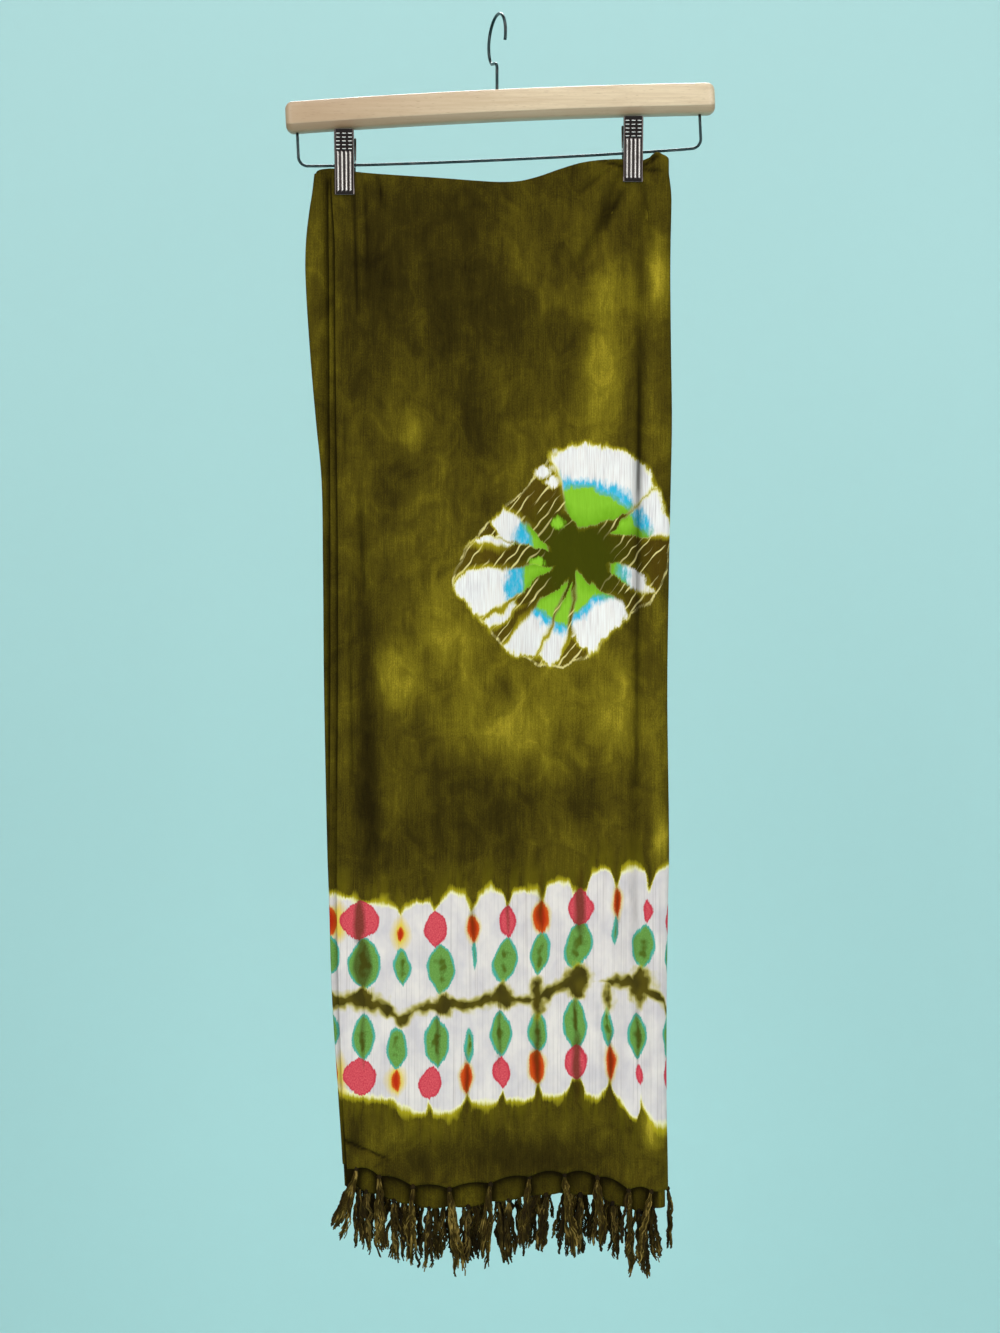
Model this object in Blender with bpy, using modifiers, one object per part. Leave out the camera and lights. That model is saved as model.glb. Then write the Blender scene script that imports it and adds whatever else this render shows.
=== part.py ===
# Sarong, folded once along its length and twice across its width, clipped on a wooden hanger.
# Metres, +Z up, +X to the viewer's right, +Y away from the viewer.
# The origin is the underside of the hook's top, where a rail carries it.
import math
import random
from collections import namedtuple

import bmesh
import bpy
from mathutils import Vector

WALL = 0.0010  # thickness of the cloth wall
SEAM = 0.0003  # gap between pieces that touch
FRINGE_GAP = 0.0006  # from the hem's edge to the strip that carries the fringe
BOTTOM_SHIFT = 0.0175  # how much lower the second end of the cloth hangs

# Hanger
BAR_LENGTH = 0.358
BAR_HEIGHT = 0.0250
BAR_DEPTH = 0.0160
BAR_ROUND = 0.0048
BAR_ARCH = 0.0026
BAR_TOP = -0.062
BAR_CENTRE_X = 0.002
TILT = math.radians(2.6)  # the right end hangs higher
WIRE_RADIUS = 0.0012
WIRE_HALF_SPAN = 0.1680
WIRE_DROP = 0.0553
WIRE_SAG = 0.0022
WIRE_CORNER = 0.008
WIRE_IN_BAR = 0.008
HOOK_WIRE_RADIUS = 0.0013
HOOK_RADIUS = 0.0205
HOOK_STEM_TOP = -0.0425
HOOK_IN_BAR = 0.012
HOOK_TURN = math.radians(20)
HOLE_GAP = 0.0004

# Clips
CLIP_WIDTH = 0.0165
CLIP_REACH = 0.0265  # above and below the wire
CLIP_PLATE = 0.0009
CLIP_X = {"left": -0.1266, "right": 0.1129}
RIB_HEIGHT = 0.0009
RIB_PITCH = 0.0034
SPRING_RADIUS = 0.0034
SPRING_BORE = 0.0016
SPRING_LENGTH = 0.0120

# Outline of the folded cloth from the top down: x of each edge, and the pitch of its eight layers.
Outline = namedtuple("Outline", "drop front_edge under_edge back_fold right_fold pitch")
OUTLINE = [
    Outline(0.000, -0.1374, -0.1399, -0.1531, 0.1436, 0.00155),
    Outline(0.015, -0.1374, -0.1401, -0.1548, 0.1455, 0.00155),
    Outline(0.030, -0.1366, -0.1401, -0.1572, 0.1457, 0.00156),
    Outline(0.056, -0.1349, -0.1401, -0.1600, 0.1451, 0.00160),
    Outline(0.085, -0.1345, -0.1397, -0.1604, 0.1448, 0.00165),
    Outline(0.148, -0.1339, -0.1392, -0.1565, 0.1453, 0.00175),
    Outline(0.206, -0.1332, -0.1390, -0.1515, 0.1460, 0.00185),
    Outline(0.256, -0.1322, -0.1383, -0.1468, 0.1451, 0.00200),
    Outline(0.322, -0.1316, -0.1382, -0.1457, 0.1437, 0.00207),
    Outline(0.430, -0.1316, -0.1382, -0.1448, 0.1423, 0.00218),
    Outline(0.563, -0.1324, -0.1391, -0.1421, 0.1436, 0.00232),
    Outline(0.604, -0.1325, -0.1388, -0.1407, 0.1428, 0.00236),
    Outline(0.687, -0.1307, -0.1365, -0.1382, 0.1416, 0.00244),
    Outline(0.770, -0.1274, -0.1307, -0.1330, 0.1415, 0.00253),
    Outline(0.812, -0.1249, -0.1278, -0.1302, 0.1423, 0.00257),
    Outline(0.845, -0.1228, -0.1260, -0.1285, 0.1428, 0.00260),
]
TOP_DATUM = -0.131  # height from which a drop is measured

# Height of the folded top edge, from the left corner over both clips to the ear at the right.
TopPoint = namedtuple("TopPoint", "x z")
TOP_EDGE = [
    TopPoint(-0.1600, -0.1345),
    TopPoint(-0.1527, -0.1312),
    TopPoint(-0.1469, -0.1294),
    TopPoint(-0.1361, -0.1286),
    TopPoint(-0.1162, -0.1311),
    TopPoint(-0.0971, -0.1328),
    TopPoint(-0.0473, -0.1361),
    TopPoint(-0.0141, -0.1386),
    TopPoint(0.0025, -0.1394),
    TopPoint(0.0191, -0.1386),
    TopPoint(0.0357, -0.1345),
    TopPoint(0.0523, -0.1287),
    TopPoint(0.0689, -0.1237),
    TopPoint(0.0855, -0.1212),
    TopPoint(0.1038, -0.1204),
    TopPoint(0.1237, -0.1212),
    TopPoint(0.1328, -0.1150),
    TopPoint(0.1370, -0.1145),
    TopPoint(0.1430, -0.1178),
    TopPoint(0.1490, -0.1195),
]

# Where the fringe of the front end is knotted, with the lean and length of each tassel.
Tassel = namedtuple("Tassel", "x z lean length")
FRONT_TASSELS = [
    Tassel(-0.1163, -0.9574, -0.0145, 0.060),
    Tassel(-0.0975, -0.9638, 0.0030, 0.070),
    Tassel(-0.0697, -0.9729, -0.0020, 0.069),
    Tassel(-0.0394, -0.9754, 0.0080, 0.073),
    Tassel(-0.0054, -0.9712, -0.0040, 0.075),
    Tassel(0.0270, -0.9675, -0.0060, 0.070),
    Tassel(0.0560, -0.9663, 0.0065, 0.067),
    Tassel(0.0834, -0.9687, 0.0030, 0.063),
    Tassel(0.1091, -0.9754, -0.0035, 0.058),
    Tassel(0.1275, -0.9762, -0.0080, 0.066),
]
SCALLOP = 0.0025  # how far the hem rises between two knots
BACK_KNOTS = 10
BACK_KNOT_SPAN = (-0.1180, 0.1240)
INNER_KNOTS = 9
TASSEL_LENGTH = 0.065
STRAND_WIDTH = 0.0030
STRAND_SPREAD = 0.0032  # how far each strand of a tassel parts from the next by its tip
STRIP_HEIGHT = 0.0020

# Troughs and ridges of the outer layer: a line, how wide, and how deep. A ridge is negative.
Crease = namedtuple("Crease", "x0 z0 x1 z1 width depth")
FRONT_CREASES = [
    Crease(0.1185, -0.160, 0.1135, -0.780, 0.0055, 0.0024),
    Crease(-0.1120, -0.420, -0.1030, -0.720, 0.0090, 0.0020),
    Crease(0.1020, -0.150, 0.0640, -0.212, 0.0060, 0.0026),
    Crease(0.0760, -0.150, 0.0480, -0.195, 0.0080, -0.0020),
    Crease(0.1090, -0.175, 0.0880, -0.240, 0.0080, -0.0022),
    Crease(-0.0600, -0.180, -0.0520, -0.560, 0.0200, -0.0018),
    Crease(0.0100, -0.300, 0.0220, -0.820, 0.0240, 0.0016),
    Crease(0.0700, -0.500, 0.0800, -0.930, 0.0180, -0.0020),
]
BACK_CREASES = [
    Crease(-0.1150, -0.160, -0.0500, -0.330, 0.0110, 0.0022),
    Crease(-0.0800, -0.400, -0.0880, -0.800, 0.0170, 0.0022),
    Crease(0.0150, -0.240, 0.0040, -0.700, 0.0200, -0.0024),
    Crease(0.0950, -0.170, 0.0620, -0.420, 0.0140, 0.0024),
    Crease(0.0920, -0.560, 0.0980, -0.920, 0.0160, -0.0020),
    Crease(-0.0300, -0.700, -0.0220, -0.950, 0.0150, 0.0018),
]
PUFF = 0.0026  # how far the outer layer stands off the one under it
SWAY = 0.0024  # slow wave that all the layers share
SWAY_LENGTH = 0.36

# Heights of the rings of the wall, as shares of the way from the top edge to the hem.
OUTER_ROWS = [0.006, 0.020, 0.040, 0.066, 0.100, 0.150, 0.215, 0.290, 0.370]
LOWER_ROWS = [0.460, 0.560, 0.660, 0.760, 0.850, 0.930, 1.0]
LOWER_ROWS_INSIDE = [0.560, 0.760, 0.930, 1.0]
INNER_ROWS = [0.006, 0.040, 0.100, 0.215, 0.370, 0.560, 0.760, 0.930, 1.0]
TURN_STEPS = 4  # faces round the folded top edge

SEAM_X = -0.1180  # where the outer wrap's third stretch hands over to the inner cloth
INNER_TUCK = 0.0012  # the two inner selvedges hide this far behind the under one


def clear_scene():
    for thing in list(bpy.data.objects):
        bpy.data.objects.remove(thing, do_unlink=True)


def collection(name):
    made = bpy.data.collections.new(name)
    bpy.context.scene.collection.children.link(made)
    return made


def material(name, colour, roughness, metallic=0.0):
    made = bpy.data.materials.new(name)
    made.use_nodes = True
    shader = made.node_tree.nodes["Principled BSDF"]
    shader.inputs["Base Color"].default_value = (*colour, 1.0)
    shader.inputs["Roughness"].default_value = roughness
    shader.inputs["Metallic"].default_value = metallic
    return made


def smooth_between(points, at):
    """Value at `at` on a curve through (place, value) pairs, flat beyond its ends."""
    if at <= points[0][0]:
        return points[0][1]
    if at >= points[-1][0]:
        return points[-1][1]
    i = max(k for k in range(len(points) - 1) if points[k][0] <= at)
    (x0, y0), (x1, y1) = points[i], points[i + 1]
    slopes = []
    for k in (i, i + 1):
        low, high = points[max(k - 1, 0)], points[min(k + 1, len(points) - 1)]
        slopes.append((high[1] - low[1]) / (high[0] - low[0]))
    span = x1 - x0
    t = (at - x0) / span
    rise = y0 * (1 + 2 * t) * (1 - t) ** 2 + y1 * t * t * (3 - 2 * t)
    return rise + span * (slopes[0] * t * (1 - t) ** 2 - slopes[1] * t * t * (1 - t))


def ease(low, high, at):
    t = min(1.0, max(0.0, (at - low) / (high - low)))
    return t * t * (3 - 2 * t)


def outline(z):
    """The outline's row at height z."""
    drop = TOP_DATUM - z
    read = [
        smooth_between([(row.drop, getattr(row, field)) for row in OUTLINE], drop)
        for field in Outline._fields[1:]
    ]
    return Outline(drop, *read)


def top_edge(x):
    return smooth_between(TOP_EDGE, x)


def front_knots():
    return [(row.x, row.z) for row in FRONT_TASSELS]


def back_knots():
    """Evenly spaced knots along the back panel, at the height of the front ones."""
    first, last = BACK_KNOT_SPAN
    places = [first + (last - first) * k / (BACK_KNOTS - 1) for k in range(BACK_KNOTS)]
    return [(x, smooth_between(front_knots(), x)) for x in places]


def scalloped_hem():
    """The front panel's hem: a low point at each knot and a high one between two."""
    knots = front_knots()
    points = []
    for (x0, z0), (x1, z1) in zip(knots, knots[1:]):
        points.append((x0, z0))
        points.append(((x0 + x1) / 2, (z0 + z1) / 2 + SCALLOP))
    points.append(knots[-1])
    return points


def straight_between(points, at):
    if at <= points[0][0]:
        return points[0][1]
    for (x0, y0), (x1, y1) in zip(points, points[1:]):
        if at <= x1:
            return y0 + (y1 - y0) * (at - x0) / (x1 - x0)
    return points[-1][1]


HEMS = {"front": scalloped_hem(), "back": back_knots()}


def hem(stretch, x, side):
    """Height of the hem. The under end is lower, and its knots lie between the others."""
    scalloped = stretch == "front"
    plain = smooth_between(front_knots(), x)
    z = straight_between(HEMS["front"], x) if scalloped else plain
    if side > 0:
        return z
    return 2 * plain + SCALLOP * scalloped - z - BOTTOM_SHIFT


def stand_off(creases, x, z):
    """How far the outer layer stands proud: its puff, less the troughs, plus the ridges."""
    drop = TOP_DATUM - z
    proud = PUFF * ease(0.028, 0.100, drop) * (1 - 0.6 * ease(0.78, 0.84, drop))
    for row in creases:
        along = Vector((row.x1 - row.x0, row.z1 - row.z0))
        away = Vector((x - row.x0, z - row.z0))
        share = min(1.0, max(0.0, away.dot(along) / along.length_squared))
        distance = (away - along * share).length
        fade = math.sin(math.pi * min(1.0, max(0.0, 0.08 + 0.84 * share))) ** 0.5
        proud -= row.depth * fade * math.exp(-((distance / row.width) ** 2))
    near_edge = ease(0.0, 0.016, 0.1437 - abs(x - 0.002))
    return max(0.0, proud) * ease(0.026, 0.050, drop) * near_edge


def sway(x, z):
    drop = TOP_DATUM - z
    return SWAY * ease(0.035, 0.260, drop) * math.cos(2 * math.pi * (x - 0.02) / SWAY_LENGTH)


# A column of the cloth is (stretch, place): a share of the way along a straight stretch, or an angle
# round a fold. `side` is +0.5 on the layer that faces out and -0.5 on the one folded under it.


def spot(column, side, z):
    """Place of the cloth's middle surface, as (x, y), and which way is out."""
    stretch, place = column
    row = outline(z)
    pitch = row.pitch
    turn_x = row.right_fold - 3.5 * pitch - WALL / 2
    left_x = row.back_fold + 1.5 * pitch + WALL / 2
    out = Vector((0.0, -1.0))
    if stretch == "front":
        edge = row.under_edge + (row.front_edge - row.under_edge) * (side + 0.5)
        x, y = edge + (turn_x - edge) * place, (-3.0 - side) * pitch
    elif stretch == "right_fold":
        reach = (3.0 + side) * pitch
        out = Vector((math.sin(place), -math.cos(place)))
        x, y = turn_x + reach * out.x, reach * out.y
    elif stretch == "back":
        x, y = turn_x + (left_x - turn_x) * place, (3.0 + side) * pitch
        out = Vector((0.0, 1.0))
    elif stretch == "left_fold":
        reach = (1.0 + side) * pitch
        out = Vector((-math.sin(place), math.cos(place)))
        x, y = left_x + reach * out.x, 2.0 * pitch + reach * out.y
    elif stretch == "third":
        start = left_x if place < 0 else SEAM_X + SEAM
        goal = SEAM_X if place < 0 else turn_x
        x, y = start + (goal - start) * abs(place), (1.0 - side) * pitch
    elif stretch == "inner_fold":
        reach = (1.0 - side) * pitch
        out = Vector((-math.sin(place), -math.cos(place)))
        x, y = turn_x - reach * out.x, -reach * out.y
    else:
        edge = row.under_edge + INNER_TUCK
        x, y = turn_x + (edge - turn_x) * place, (-1.0 + side) * pitch
        out = Vector((0.0, 1.0))
    if side > 0 and stretch == "front":
        y -= stand_off(FRONT_CREASES, x, z) * side * 2
    if side > 0 and stretch == "back":
        y += stand_off(BACK_CREASES, x, z) * side * 2
    return Vector((x, y + sway(x, z))), out


def top_of(column, x):
    """Height of the top edge. Round a fold it stays more level."""
    row = outline(TOP_DATUM)
    if column[0] == "left_fold":
        return top_edge(row.back_fold + 1.5 * row.pitch + WALL / 2)
    if column[0] == "inner_fold":
        return top_edge(row.right_fold - 3.5 * row.pitch - WALL / 2)
    if column[0] == "right_fold":
        start = row.right_fold - 3.5 * row.pitch - WALL / 2
        return top_edge(start + (x - start) * 0.4)
    return top_edge(x)


def cloth_row(column, side, share):
    """Point of the wall's middle surface a share of the way down from the top edge."""
    place, _ = spot(column, side, -0.5)
    for _ in range(3):
        edge = top_of(column, place.x)
        top = edge - outline(edge).pitch / 2
        z = top + (hem(column[0], place.x, side) - top) * share
        place, _ = spot(column, side, z)
    return Vector((place.x, place.y, z))


def turn_row(column, angle):
    """Point on the half round of the top edge: angle 0 is the outer layer, pi the one under it."""
    side = 0.5 * math.cos(angle)
    place, _ = spot(column, side, top_edge(0.0))
    for _ in range(3):
        edge = top_of(column, place.x)
        z = edge - outline(edge).pitch / 2 * (1 - math.sin(angle))
        place, _ = spot(column, side, z)
    return Vector((place.x, place.y, z))


def cloth_wall(name, columns, outer_rows, under_rows, look, group):
    """One wall of cloth, up the outer layer, over the top edge and down the under layer."""
    mesh = bmesh.new()
    grid = []
    for column in columns:
        line = [cloth_row(column, 0.5, share) for share in reversed(outer_rows)]
        line += [turn_row(column, math.pi * k / TURN_STEPS) for k in range(TURN_STEPS + 1)]
        line += [cloth_row(column, -0.5, share) for share in under_rows]
        grid.append([mesh.verts.new(point) for point in line])
    for left, right in zip(grid, grid[1:]):
        for k in range(len(left) - 1):
            mesh.faces.new((left[k], right[k], right[k + 1], left[k + 1]))
    made = mesh_object(name, mesh, look, group)
    thicken(made, WALL, 0.0)
    return made


def mesh_object(name, mesh, look, group):
    data = bpy.data.meshes.new(name)
    mesh.to_mesh(data)
    mesh.free()
    made = bpy.data.objects.new(name, data)
    made.data.materials.append(look)
    group.objects.link(made)
    return made


def thicken(thing, thickness, offset):
    solid = thing.modifiers.new("wall", "SOLIDIFY")
    solid.thickness = thickness
    solid.offset = offset
    solid.use_even_offset = True


def share_of(x, stretch):
    """Share of the way along a straight stretch at which its hem lies at x."""
    row = outline(hem(stretch, x, 0.5))
    turn_x = row.right_fold - 3.5 * row.pitch - WALL / 2
    if stretch == "front":
        return (x - row.front_edge) / (turn_x - row.front_edge)
    left_x = row.back_fold + 1.5 * row.pitch + WALL / 2
    return (turn_x - x) / (turn_x - left_x)


def outer_columns():
    front = [0.0, *(share_of(x, "front") for x, _ in HEMS["front"]), 1.0]
    back = [0.0, *(share_of(x, "back") for x, _ in reversed(HEMS["back"])), 1.0]
    columns = [("front", place) for place in front]
    columns += [("right_fold", math.pi * k / 6) for k in range(1, 6)]
    columns += [("back", place) for place in back]
    columns += [("left_fold", math.pi * k / 5) for k in range(1, 5)]
    columns += [("third", place) for place in (-1e-9, -0.5, -1.0)]
    return columns


def inner_columns():
    columns = [("third", k / INNER_KNOTS) for k in range(INNER_KNOTS + 1)]
    columns += [("inner_fold", math.pi * k / 4) for k in range(1, 4)]
    columns += [("fourth", k / INNER_KNOTS) for k in range(INNER_KNOTS + 1)]
    return columns


Strand = namedtuple("Strand", "width thickness lean length bulge steps")


def strand_rings(root, along, out, strand, chance):
    """Centres and half sizes of a strand's rings below its root."""
    wave = chance.uniform(-0.0003, 0.0003)
    rings = []
    for k in range(1, strand.steps + 1):
        t = k / strand.steps
        swing = strand.lean * t ** 1.4 + wave * math.sin(math.pi * t)
        lift = strand.bulge * math.sin(math.pi * min(1.0, 0.2 + 0.75 * t))
        centre = root + Vector((0, 0, -strand.length * t))
        centre += Vector((*(along * swing), 0.0)) + Vector((*(out * lift), 0.0))
        girth = 0.62 + 0.30 * math.sin(math.pi * t) if t < 1 else 0.18
        rings.append((centre, strand.width / 2 * girth, strand.thickness / 2 * girth))
    return rings


def hem_spot(columns, column, side):
    """Point on the wall's lower edge, which runs straight from column to column, and its way out."""
    stretch, place = column
    places = [at for kind, at in columns if kind == stretch]
    low = max((at for at in places if at <= place), default=place)
    high = min((at for at in places if at >= place), default=place)
    share = 0.0 if high == low else (place - low) / (high - low)
    ends = []
    for at in (low, high):
        point = cloth_row((stretch, at), side, 1.0)
        ends.append((point, spot((stretch, at), side, point.z)[1]))
    (start, out), (goal, goal_out) = ends
    return start.lerp(goal, share), out.lerp(goal_out, share).normalized()


def fringe(name, side, stations, look, group, seed):
    """A narrow strip under one end's hem, with its strands fused to it.

    A station is (column, strand or None): the strand grows from the strip's cell that starts there.
    """
    chance = random.Random(seed)
    columns = outer_columns() + inner_columns()
    mesh = bmesh.new()
    corners, frames = [], []
    for column, _ in stations:
        place, out = hem_spot(columns, column, side)
        out = out * (1 if side > 0 else -1)
        top = place.z - FRINGE_GAP
        place = place.to_2d()
        ring = []
        for away, height in ((1, 0.0), (-1, 0.0), (-1, -STRIP_HEIGHT), (1, -STRIP_HEIGHT)):
            flat = place + out * (away * WALL / 2)
            ring.append(mesh.verts.new((flat.x, flat.y, top + height)))
        corners.append(ring)
        frames.append((Vector((place.x, place.y, top - STRIP_HEIGHT)), out))
    for i in range(len(stations) - 1):
        a, b = corners[i], corners[i + 1]
        strand = stations[i][1]
        for k in (0, 1, 3):
            mesh.faces.new((a[k], a[(k + 1) % 4], b[(k + 1) % 4], b[k]))
        if strand is None:
            mesh.faces.new((a[2], a[3], b[3], b[2]))
            continue
        root = (frames[i][0] + frames[i + 1][0]) / 2
        along = (frames[i + 1][0] - frames[i][0]).to_2d().normalized()
        out = (frames[i][1] + frames[i + 1][1]).normalized()
        last = [a[2], a[3], b[3], b[2]]
        for centre, half_width, half_depth in strand_rings(root, along, out, strand, chance):
            ring = []
            for across, depth in ((-1, -1), (-1, 1), (1, 1), (1, -1)):
                flat = along * (across * half_width) + out * (depth * half_depth)
                ring.append(mesh.verts.new(centre + Vector((flat.x, flat.y, 0.0))))
            for k in range(4):
                mesh.faces.new((last[k], last[(k + 1) % 4], ring[(k + 1) % 4], ring[k]))
            last = ring
        mesh.faces.new(last)
    mesh.faces.new(corners[0])
    mesh.faces.new(corners[-1])
    bmesh.ops.recalc_face_normals(mesh, faces=mesh.faces)
    return mesh_object(name, mesh, look, group)


def tassel_stations(stretch, x, strands):
    """The cells under one knot: one for each strand, then a plain one."""
    start = x - STRAND_WIDTH * len(strands) / 2
    places = [start + STRAND_WIDTH * k for k in range(len(strands) + 1)]
    if stretch == "back":
        places.reverse()
    shares = [(stretch, share_of(place, stretch)) for place in places]
    return list(zip(shares, [*strands, None]))


def strands_of(lean, length, count, chance, outer, direction):
    made = []
    for k in range(count):
        spread = (k - (count - 1) / 2) * STRAND_SPREAD
        made.append(
            Strand(
                width=STRAND_WIDTH * chance.uniform(0.90, 1.05),
                thickness=0.0026 if outer else 0.0015,
                lean=lean * direction + spread + chance.uniform(-0.0005, 0.0005),
                length=length * chance.uniform(0.84, 1.0),
                bulge=0.0017 if outer else 0.0,
                steps=3 if outer else 2,
            )
        )
    return made


def with_columns(stretch, cells):
    """Stations of a stretch in order: its tassels' cells, and the wall's columns between them."""
    covered = []
    for (_, start), strand in cells:
        if strand is not None:
            covered.append((start, min(at for (_, at), _ in cells if at > start)))
    places = [at for kind, at in outer_columns() + inner_columns() if kind == stretch and at >= 0]
    free = [at for at in places if not any(a - 0.004 < at < b + 0.004 for a, b in covered)]
    return sorted([*cells, *(((stretch, at), None) for at in free)], key=lambda row: row[0][1])


def end_stations(side, seed):
    """Stations of the strip along all four stretches of one end of the cloth."""
    chance = random.Random(seed)
    outer = side > 0
    front = [(row.x, row.lean, row.length) for row in FRONT_TASSELS]
    back = [x for x, _ in reversed(HEMS["back"])]
    if not outer:
        front = [
            ((a[0] + b[0]) / 2, chance.uniform(-0.005, 0.005), TASSEL_LENGTH - 0.010)
            for a, b in zip(front, front[1:])
        ]
        back = [(a + b) / 2 for a, b in zip(back, back[1:])]
    count = 3 if outer else 2
    cells = []
    for x, lean, length in front:
        cells += tassel_stations("front", x, strands_of(lean, length, count, chance, outer, 1))
    stations = with_columns("front", cells)
    stations += fold_stations("right_fold", 6, chance, outer)
    cells = []
    for x in back:
        lean = chance.uniform(-0.007, 0.007)
        length = TASSEL_LENGTH * chance.uniform(0.9, 1.1) - (0 if outer else 0.010)
        cells += tassel_stations("back", x, strands_of(lean, length, count, chance, outer, -1))
    stations += with_columns("back", cells)
    stations += fold_stations("left_fold", 5, chance, False)
    for stretch in ("third", "fourth"):
        cells = []
        for k in range(INNER_KNOTS):
            start = (k + (0.40 if outer else 0.60)) / INNER_KNOTS
            strand = strands_of(0.0, TASSEL_LENGTH * chance.uniform(0.8, 1.0), 1, chance, False, 1)
            cells.append(((stretch, start), strand[0]._replace(thickness=0.0012)))
            cells.append(((stretch, start + STRAND_WIDTH / 0.26), None))
        stations += with_columns(stretch, cells)
        if stretch == "third":
            stations += fold_stations("inner_fold", 4, chance, False)
    return stations


def fold_stations(stretch, steps, chance, with_tassel):
    """Plain cells round a fold, with a tassel at its middle where the fold shows."""
    stations = [((stretch, math.pi * k / steps), None) for k in range(1, steps)]
    if with_tassel:
        middle = steps // 2 - 1
        strand = strands_of(0.004, TASSEL_LENGTH * 0.8, 1, chance, True, 1)[0]
        stations[middle] = (stations[middle][0], strand._replace(bulge=0.004))
    return stations


def tube(name, points, radius, look, group):
    """A round wire along points, as a curve with filled ends."""
    data = bpy.data.curves.new(name, "CURVE")
    data.dimensions = "3D"
    data.bevel_depth = radius
    data.bevel_resolution = 2
    data.use_fill_caps = True
    spline = data.splines.new("POLY")
    spline.points.add(len(points) - 1)
    for target, point in zip(spline.points, points):
        target.co = (*point, 1.0)
    made = bpy.data.objects.new(name, data)
    made.data.materials.append(look)
    group.objects.link(made)
    return made


def cutter(name, radius, place, depth, group, parent):
    """A round cutter, down or up from place, for a blind hole in the bar."""
    mesh = bmesh.new()
    bmesh.ops.create_cone(
        mesh, cap_ends=True, segments=12, radius1=radius, radius2=radius, depth=abs(depth)
    )
    bmesh.ops.translate(mesh, verts=mesh.verts, vec=Vector(place))
    made = mesh_object(name, mesh, bpy.data.materials[0], group)
    made.hide_render = True
    made.display_type = "WIRE"
    made.parent = parent
    return made


def bar_rise(x):
    """How much lower the arched bar is at x than at its middle."""
    return -BAR_ARCH * ((x - BAR_CENTRE_X) / (BAR_LENGTH / 2)) ** 2


def build_bar(hanger, look, group, cutters):
    mesh = bmesh.new()
    bmesh.ops.create_cube(mesh, size=1.0)
    bmesh.ops.scale(mesh, verts=mesh.verts, vec=(BAR_LENGTH, BAR_DEPTH, BAR_HEIGHT))
    long_edges = [e for e in mesh.edges if abs(e.verts[0].co.x - e.verts[1].co.x) > 0.1]
    bmesh.ops.subdivide_edges(mesh, edges=long_edges, cuts=7, use_grid_fill=True)
    for vert in mesh.verts:
        vert.co.x += BAR_CENTRE_X
        vert.co.z += bar_rise(vert.co.x) - BAR_HEIGHT / 2
    bar = mesh_object("hanger_bar", mesh, look, group)
    bar.parent = hanger
    rounding = bar.modifiers.new("rounding", "BEVEL")
    rounding.width = BAR_ROUND
    rounding.segments = 3
    rounding.limit_method = "ANGLE"
    underside = -BAR_HEIGHT
    holes = [("hook_hole", 0.0, HOOK_WIRE_RADIUS, -HOOK_IN_BAR / 2 + 0.004, HOOK_IN_BAR + 0.009)]
    for name, x in (("left_hole", -WIRE_HALF_SPAN), ("right_hole", WIRE_HALF_SPAN)):
        middle = underside + bar_rise(x) + WIRE_IN_BAR / 2 - 0.004
        holes.append((name, x, WIRE_RADIUS, middle, WIRE_IN_BAR + 0.009))
    for name, x, radius, middle, depth in holes:
        hole = cutter(name, radius + HOLE_GAP, (x, 0, middle), depth, cutters, hanger)
        cut = bar.modifiers.new(name, "BOOLEAN")
        cut.operation = "DIFFERENCE"
        cut.object = hole
    return bar


def wire_height(x):
    """Height of the swing wire below the bar's top, in the hanger's own frame."""
    return -WIRE_DROP - WIRE_SAG * (1 - (x / WIRE_HALF_SPAN) ** 2)


def build_swing_wire(hanger, look, group):
    points = []
    top = -BAR_HEIGHT + bar_rise(WIRE_HALF_SPAN) + WIRE_IN_BAR - 0.0006
    turns = 4
    for k in range(turns + 1):
        angle = math.pi / 2 * k / turns
        x = WIRE_HALF_SPAN - WIRE_CORNER * (1 - math.cos(angle))
        points.append((x, 0.0, -WIRE_DROP + WIRE_CORNER * (1 - math.sin(angle))))
    points = [(WIRE_HALF_SPAN, 0.0, top), *points]
    middle = [(x, 0.0, wire_height(x)) for x in (0.12, 0.06, 0.0, -0.06, -0.12)]
    mirrored = [(-x, y, z) for x, y, z in reversed(points)]
    wire = tube("swing_wire", [*points, *middle, *mirrored], WIRE_RADIUS, look, group)
    wire.parent = hanger
    return wire


def build_hook(look, group):
    """The hook's plane is turned, so that it is seen nearly edge on."""
    centre = HOOK_WIRE_RADIUS - HOOK_RADIUS
    flat = [(0.0, BAR_TOP - HOOK_IN_BAR + 0.002), (0.0, BAR_TOP + 0.006), (0.0, HOOK_STEM_TOP)]
    flat += [(0.0012, HOOK_STEM_TOP + 0.0030), (0.0050, HOOK_STEM_TOP + 0.0052)]
    for degrees in range(-52, 206, 17):
        angle = math.radians(degrees)
        flat.append((HOOK_RADIUS * math.cos(angle), centre + HOOK_RADIUS * math.sin(angle)))
    way = Vector((-math.sin(HOOK_TURN), math.cos(HOOK_TURN)))
    points = [(way.x * a, way.y * a, z) for a, z in flat]
    return tube("hook", points, HOOK_WIRE_RADIUS, look, group)


# Side profile of a jaw: height over the wire, how far the plate stands out, and the side flange's depth.
JawRow = namedtuple("JawRow", "z out flange ribs")
JAW = [
    JawRow(0.0265, 0.0128, 0.0014, 0.0),
    JawRow(0.0190, 0.0120, 0.0018, 0.0),
    JawRow(0.0085, 0.0107, 0.0022, 0.0),
    JawRow(0.0070, 0.0105, 0.0026, 1.0),
    JawRow(0.0018, 0.0099, 0.0080, 1.0),
    JawRow(-0.0018, 0.0095, 0.0076, 1.0),
    JawRow(-0.0048, 0.0091, 0.0018, 1.0),
    JawRow(-0.0215, 0.0076, 0.0013, 1.0),
    JawRow(-0.0232, 0.0074, 0.0012, 0.0),
    JawRow(-0.0265, 0.0074, 0.0012, 0.0),
]


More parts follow.
